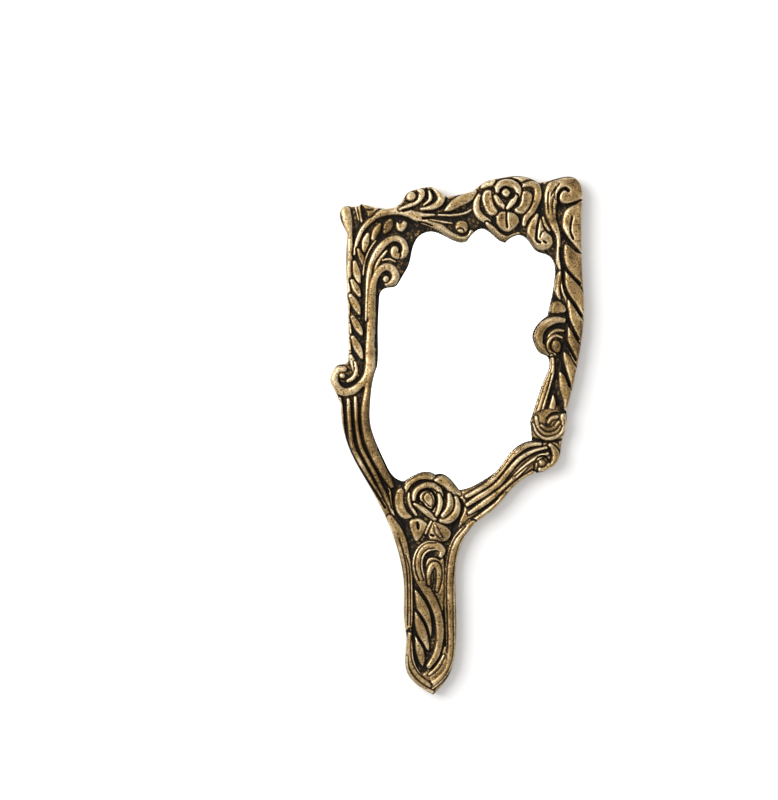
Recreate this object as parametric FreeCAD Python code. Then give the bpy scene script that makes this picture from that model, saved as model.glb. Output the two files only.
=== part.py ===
"""Hand mirror with a cast ornamental frame, lying on its back, face up.

The frame is one casting: an irregular window framed by scrolls, twisted leaves and a rose,
two fluted arms that meet under a second rose, and a handle with a pointed end.
From behind, the glass, its silvering, a backing card and a foam sheet drop into a pocket,
and a back plate with countersunk screws closes it.  The handle is hollow behind and has a
plate of its own.

Frame: millimetres, +X to the right and +Y towards the crest of the face, +Z out of the face.
The origin is in the middle of the outline, on the plane that the back rim rests on.
"""
import FreeCAD
import Part
import math
import os

os.makedirs("parts", exist_ok=True)

# ---------------------------------------------------------------- driving dimensions, mm
head_width = 123.4          # across the frame
head_height = 181.2         # neck to crest
handle_length = 70.8        # neck to pointed end
handle_width = 24.6         # across the grip

casting_depth = 8.0         # back rim to the ground of the relief
rib_height = 2.4            # scrolls, leaves and flutes above the ground
rose_height = 3.3           # the roses stand higher
shoulder_height = 1.2       # low flanks beside the window
rib_root = 0.6              # how far the raised work is rooted in the ground

glass_thickness = 2.5
glass_corner = 3.0          # radius the glass corners are ground to
glass_play = 0.5            # room round the glass in its pocket
silvering_thickness = 0.15
card_thickness = 1.0
foam_thickness = 0.8
foam_margin = 4.0           # the foam stops this far inside the card
gasket_thickness = 0.4
gasket_width = 2.2          # hidden under the lip, which laps the glass by more

plate_thickness = 1.2       # back plate and handle plate
plate_sink = 0.2            # plates lie this far inside the back rim
plate_lap = 4.6             # ledge beside the glass pocket that the back plate sits on
plate_play = 0.25           # gap round both plates
line_inset = 5.0            # engraved line on the plates, from their edge
line_width = 0.8
line_depth = 0.25

screw_radius = 1.0          # M2 countersunk
screw_head_radius = 1.9
screw_head_height = 1.0
screw_length = 5.0
screw_slot_width = 0.5
screw_slot_depth = 0.45
screw_inset = 2.3           # screw axis from the outer wall of the back plate's recess
screw_play = 0.03           # radial gap round shank and head
screw_tip_room = 0.4        # blind hole beyond the screw's end

handle_hollow_depth = 4.2   # above the handle plate
handle_end_round = 2.0

# ---------------------------------------------------------------- size of the drawing below
# The outlines are drawn at these sizes, and place() stretches them to the driving dimensions.
drawn_head_width = 123.4
drawn_head_height = 181.2
drawn_handle_length = 70.8
drawn_handle_width = 24.6
neck_y = -55.0
grip_x = -12.8              # the handle's own centre line
grip_blend = (-36.0, -62.0)  # the outline passes from head to grip between these heights

# ---------------------------------------------------------------- levels, bottom to top
ledge_z = plate_sink + plate_thickness
card_z = ledge_z + foam_thickness
silvering_z = card_z + card_thickness
glass_z = silvering_z + silvering_thickness
gasket_z = glass_z + glass_thickness
lip_z = gasket_z + gasket_thickness
ground_z = casting_depth
above_z = ground_z + rose_height + 5.0      # clear of the highest ornament

# ---------------------------------------------------------------- outlines
# Runs of points, each a smooth curve; neighbouring runs share a corner.
outer_runs = [
    [(-53.2, 97.5), (-55.3, 102.5), (-56.9, 107.5), (-55.8, 110.6), (-52.5, 111.6)],
    [(-52.5, 111.6), (-49.5, 111.3), (-46.2, 112.7)],
    [(-46.2, 112.7), (-38.5, 110.7), (-30.5, 111.0), (-26.6, 113.7), (-24.6, 117.3), (-19.5, 119.8),
     (-10.2, 120.1), (-7.2, 117.8), (-4.8, 115.9)],
    [(-4.8, 115.9), (3.0, 117.5), (9.2, 119.9), (12.8, 122.9), (19.5, 124.9), (29.5, 126.2), (39.6, 122.9)],
    [(39.6, 122.9), (45.0, 123.9), (51.5, 125.7), (57.6, 125.1), (60.3, 121.5), (60.8, 112.0),
     (60.6, 92.0), (61.1, 76.0), (61.9, 63.0), (60.9, 49.0), (58.6, 34.5), (55.6, 21.0), (53.2, 12.3)],
    [(53.2, 12.3), (53.3, 7.5), (52.4, 2.0), (50.9, -2.6)],
    [(50.9, -2.6), (50.4, -7.5), (48.6, -13.0), (44.5, -16.4), (38.6, -18.0)],
    [(38.6, -18.0), (26.0, -26.5), (17.8, -36.0), (9.5, -42.0), (3.2, -50.5), (0.0, -60.0), (-0.7, -74.0),
     (-0.4, -98.0), (-1.4, -108.5), (-4.5, -117.5), (-9.2, -123.4), (-11.4, -125.8)],
    [(-11.4, -125.8), (-16.0, -123.3), (-21.2, -119.2), (-24.1, -115.0), (-24.9, -107.0), (-24.8, -95.2)],
    [(-24.8, -95.2), (-25.5, -89.0), (-25.5, -74.0), (-27.4, -60.5), (-32.4, -44.5), (-42.4, -24.5),
     (-50.6, -10.0), (-54.9, 2.0), (-56.1, 15.6)],
    [(-56.1, 15.6), (-57.4, 17.4)],
    [(-57.4, 17.4), (-59.6, 22.5), (-61.5, 27.5), (-60.2, 31.2), (-57.6, 34.4), (-54.6, 34.8), (-52.7, 36.3)],
    [(-52.7, 36.3), (-52.5, 46.0), (-53.4, 70.0), (-53.2, 97.5)],
]

window_runs = [
    [(-25.8, -22.3), (-30.6, -20.0), (-34.9, -13.0), (-39.2, -3.5), (-42.2, 7.0), (-42.2, 15.0),
     (-41.0, 26.0), (-38.7, 34.0)],
    [(-38.7, 34.0), (-38.4, 50.0), (-37.8, 66.0), (-36.7, 70.6), (-33.5, 72.2), (-30.3, 72.6),
     (-27.0, 76.8), (-23.3, 83.5), (-21.6, 91.0), (-18.3, 97.3), (-13.0, 99.6), (-7.5, 98.2),
     (-1.5, 95.2), (2.6, 94.2), (5.3, 94.9)],
    [(5.3, 94.9), (8.2, 98.8), (12.2, 101.0), (17.0, 98.5), (21.2, 95.0), (23.8, 94.1)],
    [(23.8, 94.1), (27.3, 96.9), (31.0, 97.8), (35.0, 95.2), (39.2, 89.9), (44.4, 88.1), (47.1, 85.3),
     (47.9, 78.0), (46.5, 68.0), (44.3, 58.4)],
    [(44.3, 58.4), (39.5, 54.3), (37.0, 48.8), (38.5, 43.3), (41.0, 40.1), (44.2, 38.6), (45.3, 35.2),
     (42.6, 27.0), (39.0, 16.5), (35.9, 6.8)],
    [(35.9, 6.8), (36.4, 2.0), (36.7, -2.4)],
    [(36.7, -2.4), (30.5, -4.6), (25.0, -9.8), (20.3, -16.4), (12.5, -22.1), (5.0, -25.8), (1.4, -26.5)],
    [(1.4, -26.5), (-2.2, -22.0), (-6.5, -18.8), (-10.3, -19.0)],
    [(-10.3, -19.0), (-15.5, -17.6), (-20.7, -19.2), (-25.8, -22.3)],
]

# Straight cuts: the glass laps the lip all round; the handle plate and hollow follow the grip.
glass_corners = [
    (-43.0, 101.5), (42.0, 106.0), (51.2, 96.0), (51.2, 72.0), (48.6, 37.0), (42.3, 14.0),
    (41.0, -7.3), (4.0, -32.5), (-29.0, -31.0), (-43.0, -4.0), (-45.6, 10.0), (-43.0, 36.0),
]
handle_plate_corners = [
    (-23.2, -50.0), (-4.2, -50.0), (-3.7, -66.0), (-3.7, -105.0), (-6.8, -113.5), (-12.3, -119.3),
    (-18.8, -115.2), (-21.7, -109.0), (-21.9, -70.0),
]
handle_hollow_corners = [
    (-18.9, -59.0), (-6.9, -59.0), (-6.9, -102.0), (-12.6, -108.0), (-18.7, -102.0),
]
# Screws of the back plate: (side of the glass, how far along it)
plate_screws = [(0, 0.17), (0, 0.72), (2, 0.50), (3, 0.72), (5, 0.55), (6, 0.50), (8, 0.45), (11, 0.18), (11, 0.70)]
handle_screws = [(-13.6, -54.2), (-12.5, -113.6)]

# ---------------------------------------------------------------- raised work
# Each rib is a centre line of (x, y, half width), from root to tip.
left_bar = [
    [(-54.4, 109.0, 2.0), (-53.4, 103.5, 1.8), (-52.0, 96.0, 1.1), (-52.3, 78.0, 0.9), (-52.3, 60.0, 0.8)],
    [(-50.3, 86.0, 0.8), (-48.0, 95.0, 0.9), (-42.5, 104.0, 1.1), (-34.0, 108.8, 1.6), (-25.5, 108.4, 1.9),
     (-16.0, 105.4, 1.9), (-6.5, 101.0, 1.6), (2.6, 96.2, 1.3)],
    [(-44.4, 64.0, 0.7), (-44.2, 79.0, 0.9), (-41.3, 88.8, 1.5), (-35.5, 94.8, 1.7), (-29.5, 95.2, 1.9),
     (-25.6, 90.8, 2.0), (-27.6, 86.9, 1.7)],
    [(-44.5, 28.5, 1.6), (-42.2, 36.0, 1.9), (-42.0, 52.0, 1.9), (-41.5, 68.0, 1.8), (-38.8, 78.0, 1.8),
     (-33.6, 81.5, 2.1), (-29.7, 77.5, 2.2), (-31.4, 73.9, 1.5)],
    [(-46.8, 25.0, 1.7), (-51.0, 22.0, 1.9), (-56.6, 22.9, 2.1), (-59.5, 27.5, 1.7), (-57.4, 32.2, 1.5)],
]
left_bar_eyes = [(-30.6, 89.6, 2.0), (-34.8, 75.6, 1.6), (-56.0, 28.9, 1.3), (-33.4, 102.4, 1.8), (-27.5, 102.3, 2.0),
                 (2.3, 101.2, 2.8)]
left_leaves = [
    [(-38.7, 101.3), (-39.2, 96.2)], [(-44.4, 97.8), (-44.4, 91.0)], [(-49.1, 83.5), (-48.0, 74.8)],
    [(-50.3, 74.2), (-48.0, 67.6)], [(-50.8, 66.8), (-47.9, 59.0)], [(-50.4, 57.2), (-47.5, 49.8)],
    [(-50.0, 47.0), (-47.5, 38.6)], [(-50.9, 37.0), (-50.0, 30.0)],
]
left_arm = [
    [(-55.4, 9.0, 0.5), (-53.6, -3.0, 0.8), (-47.6, -15.0, 1.0), (-38.8, -30.0, 1.3), (-31.4, -44.0, 1.2)],
    [(-53.2, 15.5, 0.7), (-51.8, 1.0, 0.7), (-45.2, -14.5, 0.7), (-32.9, -31.0, 0.7)],
    [(-50.0, 16.5, 0.7), (-48.8, 2.0, 0.7), (-42.2, -14.5, 0.8), (-32.2, -27.6, 0.9)],
    [(-46.0, 18.0, 1.2), (-45.4, 8.0, 1.6), (-40.3, -10.5, 1.4), (-30.8, -23.2, 1.5)],
]
right_arm = [
    [(5.0, -28.4, 1.0), (14.0, -24.0, 1.1), (22.6, -16.2, 1.6), (31.0, -7.2, 1.5), (45.0, -4.6, 0.8)],
    [(5.6, -32.6, 0.9), (15.0, -27.3, 1.4), (25.0, -19.0, 1.6), (33.0, -10.4, 1.1), (43.5, -5.9, 0.6)],
    [(5.8, -37.6, 0.9), (15.0, -31.8, 1.0), (22.5, -26.0, 0.9), (31.0, -15.0, 0.9), (43.0, -8.3, 0.7)],
    [(2.4, -49.0, 1.1), (9.8, -40.8, 1.2), (19.0, -32.6, 1.3), (28.0, -23.8, 1.4), (37.0, -17.3, 1.0)],
    [(49.2, -4.2, 1.0), (48.6, -9.5, 1.4), (45.0, -14.6, 1.3), (39.6, -16.0, 0.8)],
]
right_bar = [
    [(45.4, 33.0, 0.9), (42.4, 24.5, 1.4), (38.6, 12.5, 1.2), (38.0, 8.6, 0.7)],
    [(50.8, 55.3, 0.8), (43.8, 54.7, 1.5), (38.9, 49.0, 1.6), (41.3, 42.2, 1.0)],
    [(50.4, 9.8, 1.1), (51.0, 3.5, 1.4), (46.0, -1.2, 1.0), (39.0, 0.4, 0.7)],
    [(45.2, 105.0, 1.4), (44.9, 112.0, 2.4), (47.6, 119.0, 2.5), (54.0, 122.6, 2.4), (57.8, 117.8, 2.4)],
    [(38.2, 106.2, 0.8), (35.9, 101.0, 1.7), (37.6, 95.2, 1.8), (42.0, 91.8, 1.8)],
]
right_bar_eyes = [(52.3, 116.6, 2.4), (43.2, 95.6, 2.4), (46.2, 43.4, 2.2), (45.8, 5.8, 2.4), (41.4, -13.4, 1.5)]
right_leaves = [
    [(53.6, 106.5), (57.6, 93.0)], [(53.2, 90.5), (59.4, 76.5)], [(53.8, 76.5), (60.2, 62.0)],
    [(55.6, 61.5), (59.9, 48.5)], [(54.5, 51.5), (58.0, 38.5)], [(52.3, 38.5), (56.2, 26.0)],
    [(49.9, 29.5), (52.8, 14.5)],
]
crest = [
    [(-28.0, 110.2, 1.0), (-22.4, 112.2, 1.3), (-18.4, 115.2, 1.3), (-17.6, 118.2, 0.8)],
    [(-12.6, 118.4, 0.9), (-8.4, 116.0, 1.5), (-9.4, 111.6, 1.4), (-14.5, 109.9, 0.7)],
    [(-4.9, 111.5, 1.2), (2.5, 114.2, 2.1), (8.8, 118.0, 1.0)],
]
handle = [
    [(-10.2, -57.2, 1.5), (-9.4, -53.8, 2.0), (-15.2, -54.2, 2.3), (-19.8, -62.0, 2.5), (-17.4, -72.0, 2.0),
     (-11.0, -81.6, 1.5), (-8.2, -93.0, 1.9), (-8.7, -103.0, 1.6)],
    [(-19.7, -75.2, 0.6), (-16.6, -81.8, 1.8), (-13.3, -87.0, 1.1)],
    [(-19.9, -85.6, 0.6), (-16.7, -92.6, 1.7), (-14.4, -99.0, 0.8)],
    [(-19.9, -96.2, 0.7), (-17.8, -103.6, 1.9), (-17.8, -109.6, 0.9)],
    [(-10.8, -105.6, 1.7), (-12.8, -110.2, 1.6), (-15.0, -112.8, 0.9)],
    [(-24.0, -72.0, 1.0), (-24.1, -90.0, 1.0)],
    [(-23.6, -97.0, 0.9), (-23.4, -109.5, 1.0), (-19.8, -117.6, 1.3), (-11.6, -123.2, 1.2),
     (-4.0, -113.8, 1.3), (-1.7, -104.0, 1.0), (-1.9, -66.0, 1.1), (0.4, -53.0, 1.1)],
    [(-10.6, -64.0, 1.2), (-10.9, -68.0, 1.8), (-12.3, -73.6, 0.8)],
]
# Petals of the two roses, drawn round each rose's middle.
crest_rose = [
    [(18.8, 117.6, 0.9), (21.4, 122.0, 1.3), (26.0, 122.6, 1.5), (29.2, 118.0, 1.2)],
    [(15.3, 117.2, 1.7), (14.6, 112.6, 2.0), (17.8, 108.3, 1.6)],
    [(33.3, 116.4, 2.0), (33.4, 112.6, 2.2), (29.6, 109.8, 1.2)],
    [(9.8, 113.4, 0.8), (9.6, 108.8, 1.2), (15.4, 103.9, 1.0)],
    [(33.6, 121.1, 0.9), (38.4, 119.4, 1.1), (38.8, 112.4, 0.8)],
    [(24.2, 107.0, 2.4), (24.3, 103.2, 3.2)],
    [(19.3, 115.2, 0.9), (22.8, 110.0, 0.6)],
    [(27.1, 114.8, 0.9), (24.5, 110.0, 0.6)],
    [(17.4, 101.3, 0.8), (23.8, 96.9, 0.8), (30.6, 99.6, 0.6)],
]
crest_rose_bud = (23.3, 117.9, 1.6)
neck_rose = [
    [(-24.6, -24.0, 1.2), (-17.8, -20.7, 1.9), (-11.6, -20.7, 1.5)],
    [(-9.2, -21.2, 1.6), (-4.6, -24.4, 2.2), (2.0, -29.2, 1.2)],
    [(-19.4, -31.0, 0.9), (-18.8, -26.6, 1.3), (-13.0, -23.9, 1.3), (-8.6, -28.0, 1.1)],
    [(-20.0, -33.4, 0.5), (-16.0, -36.2, 1.1), (-11.8, -39.0, 0.9)],
    [(-8.7, -30.8, 0.8), (-9.9, -37.0, 0.8)],
    [(-3.6, -30.6, 1.4), (-3.2, -34.0, 1.5), (-7.0, -38.1, 1.1)],
    [(-0.2, -33.0, 0.7), (-1.0, -38.4, 1.0), (-7.4, -41.0, 1.0)],
    [(-27.9, -26.6, 0.8), (-29.0, -34.0, 1.4), (-24.4, -40.1, 0.8)],
    [(-23.5, -29.2, 0.5), (-23.4, -34.6, 0.9), (-20.7, -38.9, 0.6)],
    [(-21.2, -43.4, 1.2), (-20.3, -49.2, 0.9)],
    [(-15.4, -42.9, 1.2), (-18.8, -48.2, 1.1)],
    [(-9.9, -42.4, 1.1), (-6.4, -47.2, 1.7)],
]
neck_rose_bud = (-14.2, -30.4, 1.7)
window_shoulders = [
    [(-38.9, 66.0, 0.9), (-39.3, 50.0, 0.9), (-39.6, 36.0, 0.9)],
    [(-43.2, 12.0, 0.9), (-40.9, -1.0, 1.1), (-35.6, -13.0, 1.0), (-30.0, -21.3, 0.8)],
]
leaf_half_width = 1.5


# ---------------------------------------------------------------- drawing helpers
def place(x, y, z=0.0):
    """A point of the drawing, stretched to the driving dimensions."""
    across = head_width / drawn_head_width
    gripped = min(1.0, max(0.0, (grip_blend[0] - y) / (grip_blend[0] - grip_blend[1])))
    gripped = gripped * gripped * (3.0 - 2.0 * gripped)
    across_here = across + (handle_width / drawn_handle_width - across) * gripped
    if y >= neck_y:
        along = head_height / drawn_head_height
    else:
        along = handle_length / drawn_handle_length
    return FreeCAD.Vector(grip_x * across + (x - grip_x) * across_here, neck_y + (y - neck_y) * along, z)


def run_edge(points):
    if len(points) == 2:
        return Part.makeLine(points[0], points[1])
    curve = Part.BSplineCurve()
    curve.interpolate(points)
    return curve.toShape()


def prism(wire, bottom, top):
    """A closed outline raised from one level to another."""
    solid = Part.Face(wire).extrude(FreeCAD.Vector(0, 0, top - bottom))
    solid.translate(FreeCAD.Vector(0, 0, bottom))
    return solid


def runs_wire(runs):
    return Part.Wire([run_edge([place(x, y) for x, y in run]) for run in runs])


def cut_polygon(corners, grow=0.0, radius=glass_corner):
    """Straight cuts with rounded corners, moved outwards by grow.  The corners run clockwise."""
    points = [place(x, y) for x, y in corners]
    count = len(points)
    along = [(points[(i + 1) % count] - points[i]).normalize() for i in range(count)]
    out = [FreeCAD.Vector(-d.y, d.x, 0) for d in along]
    moved = []
    for i in range(count):
        turn = out[i - 1] + out[i]
        moved.append(points[i] + turn * (2.0 * grow / turn.dot(turn)))
    edges = []
    ends = []
    for i in range(count):
        before = along[i - 1]
        after = along[i]
        left_turn = before.cross(after).z > 0
        bend = before.getAngle(after)
        round_here = max(0.3, radius - grow if left_turn else radius + grow)
        back = round_here * math.tan(bend / 2.0)
        start = moved[i] - before * back
        end = moved[i] + after * back
        middle = moved[i] + (after - before).normalize() * (round_here / math.cos(bend / 2.0) - round_here)
        ends.append((start, middle, end))
    for i in range(count):
        start, middle, end = ends[i]
        edges.append(Part.Arc(start, middle, end).toShape())
        edges.append(Part.makeLine(end, ends[(i + 1) % count][0]))
    return Part.Wire(edges)


def side_point(corners, side, share, outwards):
    """A point beside a straight cut, share of the way along it."""
    start = place(*corners[side])
    end = place(*corners[(side + 1) % len(corners)])
    along = (end - start).normalize()
    return start + (end - start) * share + FreeCAD.Vector(-along.y, along.x, 0) * outwards


def rib(line, top):
    """A raised rib with smooth flanks and round ends along a centre line of (x, y, half width)."""
    centres = [place(x, y) for x, y, _ in line]
    path = run_edge(centres)
    curve = path.Curve
    left = []
    right = []
    tangents = []
    for centre, (_, _, half) in zip(centres, line):
        tangent = FreeCAD.Vector(*curve.tangent(curve.parameter(centre))[0])
        tangents.append(tangent)
        side = FreeCAD.Vector(-tangent.y, tangent.x, 0) * half
        left.append(centre + side)
        right.append(centre - side)
    nose = centres[-1] + tangents[-1] * line[-1][2]
    tail = centres[0] - tangents[0] * line[0][2]
    wire = Part.Wire([
        run_edge(left),
        Part.Arc(left[-1], nose, right[-1]).toShape(),
        run_edge(right[::-1]),
        Part.Arc(right[0], tail, left[0]).toShape(),
    ])
    return prism(wire, ground_z - rib_root, ground_z + top)


def boss(x, y, radius, top):
    return Part.makeCylinder(radius, rib_root + top, place(x, y, ground_z - rib_root))


def leaf(ends, half, top):
    (x0, y0), (x1, y1) = ends
    return rib([(x0, y0, 0.35 * half), ((x0 + x1) / 2, (y0 + y1) / 2, half), (x1, y1, 0.5 * half)], top)


# ---------------------------------------------------------------- the frame
def relief():
    pieces = []
    for group in (left_bar, left_arm, right_arm, right_bar, crest, handle):
        pieces += [rib(line, rib_height) for line in group]
    for line in window_shoulders:
        pieces.append(rib(line, shoulder_height))
    for ends in left_leaves:
        pieces.append(leaf(ends, leaf_half_width, rib_height * 0.9))
    for ends in right_leaves:
        pieces.append(leaf(ends, leaf_half_width * 1.4, rib_height * 0.9))
    for x, y, radius in left_bar_eyes + right_bar_eyes:
        pieces.append(boss(x, y, radius, rib_height * 0.95))
    for line in crest_rose + neck_rose:
        pieces.append(rib(line, rose_height))
    for bud in (crest_rose_bud, neck_rose_bud):
        pieces.append(boss(*bud, rose_height * 1.05))
    return pieces


def front_frame():
    body = prism(runs_wire(outer_runs), 0.0, ground_z)
    limit = prism(runs_wire(outer_runs), 0.0, above_z)
    body = body.fuse([piece.common(limit) for piece in relief()])
    body = body.cut([
        prism(runs_wire(window_runs), lip_z - 1.0, above_z),
        prism(cut_polygon(glass_corners, glass_play), ledge_z - 1.0, lip_z),
        prism(cut_polygon(glass_corners, glass_play + plate_lap), -1.0, ledge_z),
        prism(cut_polygon(handle_plate_corners, plate_play, handle_end_round), -1.0, ledge_z),
        prism(cut_polygon(handle_hollow_corners, 0.0, handle_end_round), ledge_z - 1.0,
              ledge_z + handle_hollow_depth),
    ])
    hole_depth = plate_sink + screw_length + screw_tip_room
    holes = [Part.makeCylinder(screw_radius + screw_play, hole_depth, point)
             for point in back_screw_points() + handle_screw_points()]
    return body.cut(holes)


# ---------------------------------------------------------------- screws
def back_screw_points():
    outwards = glass_play + plate_lap - screw_inset
    return [side_point(glass_corners, side, share, outwards) for side, share in plate_screws]


def handle_screw_points():
    return [place(x, y) for x, y in handle_screws]


def screw(point):
    """Countersunk screw, driven upwards from the back, its slot across X."""
    head = Part.makeCone(screw_head_radius, screw_radius, screw_head_height)
    shank = Part.makeCylinder(screw_radius, screw_length)
    slot = Part.makeBox(4 * screw_head_radius, screw_slot_width, 2 * screw_slot_depth)
    slot.translate(FreeCAD.Vector(-2 * screw_head_radius, -screw_slot_width / 2, -screw_slot_depth))
    solid = head.fuse(shank).cut(slot)
    solid.translate(point + FreeCAD.Vector(0, 0, plate_sink))
    return solid


def screw_seat(point):
    """What a plate loses for a screw: the countersink and the shank's hole."""
    seat = Part.makeCone(screw_head_radius + screw_play, screw_radius + screw_play, screw_head_height)
    hole = Part.makeCylinder(screw_radius + screw_play, plate_thickness + 2.0)
    hole.translate(FreeCAD.Vector(0, 0, -1.0))
    solid = seat.fuse(hole)
    solid.translate(point + FreeCAD.Vector(0, 0, plate_sink))
    return solid


def plate(corners, shrink, radius, screw_points):
    """Sheet plate with countersunk holes and an engraved border line."""
    body = prism(cut_polygon(corners, shrink, radius), plate_sink, ledge_z)
    outer_line = prism(cut_polygon(corners, shrink - line_inset, radius), plate_sink - 1.0, plate_sink + line_depth)
    inner_line = prism(cut_polygon(corners, shrink - line_inset - line_width, radius), plate_sink - 2.0,
                       plate_sink + line_depth + 1.0)
    return body.cut([outer_line.cut(inner_line)] + [screw_seat(point) for point in screw_points])


# ---------------------------------------------------------------- the glass stack
def ring(grow_outer, grow_inner, bottom, top):
    outer = prism(cut_polygon(glass_corners, grow_outer), bottom, top)
    return outer.cut(prism(cut_polygon(glass_corners, grow_inner), bottom - 1.0, top + 1.0))


def whole(solids):
    """Identical loose pieces that share one node."""
    return Part.makeCompound(solids)


nodes = {
    "front_frame": front_frame(),
    "glass_gasket": ring(0.0, -gasket_width, gasket_z, lip_z),
    "mirror_glass": prism(cut_polygon(glass_corners), glass_z, gasket_z),
    "mirror_silvering": prism(cut_polygon(glass_corners), silvering_z, glass_z),
    "backing_card": prism(cut_polygon(glass_corners), card_z, silvering_z),
    "foam_sheet": prism(cut_polygon(glass_corners, -foam_margin), ledge_z, card_z),
    "back_plate": plate(glass_corners, glass_play + plate_lap - plate_play, glass_corner, back_screw_points()),
    "handle_plate": plate(handle_plate_corners, 0.0, handle_end_round, handle_screw_points()),
    "plate_screws": whole([screw(point) for point in back_screw_points() + handle_screw_points()]),
}

# The outline's middle is the origin.
middle = nodes["front_frame"].BoundBox.Center
to_origin = FreeCAD.Vector(-middle.x, -middle.y, 0)

for name, shape in nodes.items():
    shape.translate(to_origin)
    shape.exportStep(f"parts/{name}.step")
    box = shape.BoundBox
    print(f"{name}: {len(shape.Solids)} solid(s), valid {shape.isValid()}, volume {shape.Volume / 1000:.2f} cm3, "
          f"x {box.XMin:.1f}..{box.XMax:.1f} y {box.YMin:.1f}..{box.YMax:.1f} z {box.ZMin:.1f}..{box.ZMax:.1f}")
print(f"origin moved by {to_origin.x:.3f}, {to_origin.y:.3f}")
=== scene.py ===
import math
import bmesh
import bpy
import numpy as np
from mathutils import Matrix, Vector, geometry


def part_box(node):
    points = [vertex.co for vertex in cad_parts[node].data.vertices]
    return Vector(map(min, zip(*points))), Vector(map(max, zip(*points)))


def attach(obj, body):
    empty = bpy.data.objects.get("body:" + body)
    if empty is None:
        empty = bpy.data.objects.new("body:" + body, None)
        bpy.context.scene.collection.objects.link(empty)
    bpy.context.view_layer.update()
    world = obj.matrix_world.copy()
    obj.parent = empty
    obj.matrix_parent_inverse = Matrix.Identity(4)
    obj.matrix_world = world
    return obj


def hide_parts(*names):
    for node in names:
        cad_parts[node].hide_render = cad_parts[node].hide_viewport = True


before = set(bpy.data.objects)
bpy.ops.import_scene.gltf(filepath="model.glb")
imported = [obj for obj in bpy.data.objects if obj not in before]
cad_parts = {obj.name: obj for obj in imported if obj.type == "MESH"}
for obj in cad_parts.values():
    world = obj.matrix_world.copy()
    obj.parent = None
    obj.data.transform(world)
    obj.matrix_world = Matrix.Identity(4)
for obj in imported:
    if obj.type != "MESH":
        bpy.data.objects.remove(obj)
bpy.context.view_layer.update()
print("cad loaded:", len(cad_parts), "nodes")

# the casting's chased face. Its ornament is drawn in mm at drawnSize about drawnMiddle,
# and stretched to the casting's own box
casting = {
    "node": "front_frame",
    "drawnSize": (123.4, 252.0),
    "drawnMiddle": (0.23, 0.28),
    "spacing": 0.34,         # between points of the chased face
    "weld": 0.04,            # points of the rim nearer than this are one
    "pitch": 0.2,            # of the height map behind it
    "cutHeight": 7.0,        # below this the casting keeps its plain walls and pockets
    "ground": 8.2,
    "lowest": 6.75,
    "highest": 11.4,
    "outerRoll": 1.3,
    "windowRoll": 2.0,
    "grain": 0.04,           # unevenness of the cast skin
    "fuller": 0.22,          # added to the half width of every rib
    "gap": 0.65,             # recess cut round each raised piece
    "recess": 0.95,          # its depth
    "sunk": 0.7,             # how much lower the ground is that no stroke touches
    "shoulder": 0.3,         # share of a stroke's height at its edge
    "seed": 7,
}
low, high = [[c * 1000 for c in corner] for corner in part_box(casting["node"])]
stretch = [(high[i] - low[i]) / casting["drawnSize"][i] for i in (0, 1)]


def placed(points):
    # drawing to casting, with a zero half width where none is given
    rows = np.array([tuple(p) + (0.0,) * (3 - len(p)) for p in points], float)
    for i in (0, 1):
        rows[:, i] = (rows[:, i] - casting["drawnMiddle"][i]) * stretch[i]
    return rows


def smoothLine(points, closed=False, step=0.5):
    # curve through the points, half widths too
    rows = placed(points)
    if len(rows) < 3 and not closed:
        return rows
    if closed:
        rows = np.vstack([rows[-1], rows, rows[:2]])
    else:
        rows = np.vstack([2 * rows[0] - rows[1], rows, 2 * rows[-1] - rows[-2]])
    out = []
    for a, b, c, d in zip(rows[:-3], rows[1:-2], rows[2:-1], rows[3:]):
        count = max(2, int(np.hypot(*(c - b)[:2]) / step))
        for t in np.arange(count) / count:
            out.append(0.5 * (2 * b + (c - a) * t + (2 * a - 5 * b + 4 * c - d) * t * t
                              + (3 * b - a - 3 * c + d) * t ** 3))
    if not closed:
        out.append(rows[-2])
    line = np.array(out)
    line[:, 2] = np.maximum(line[:, 2], 0.15)
    return line


def soften(field, reach):
    # separable bell blur, reach in cells
    span = int(reach * 2.5) + 1
    bell = np.exp(-0.5 * (np.arange(-span, span + 1) / reach) ** 2)
    bell /= bell.sum()
    for axis in (0, 1):
        padded = np.pad(field, [(span, span) if i == axis else (0, 0) for i in (0, 1)], "edge")
        count = field.shape[axis]
        field = sum(share * (padded[k:k + count] if axis == 0 else padded[:, k:k + count])
                    for k, share in enumerate(bell))
    return field


def ease(value):
    value = np.clip(value, 0.0, 1.0)
    return value * value * (3.0 - 2.0 * value)


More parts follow.
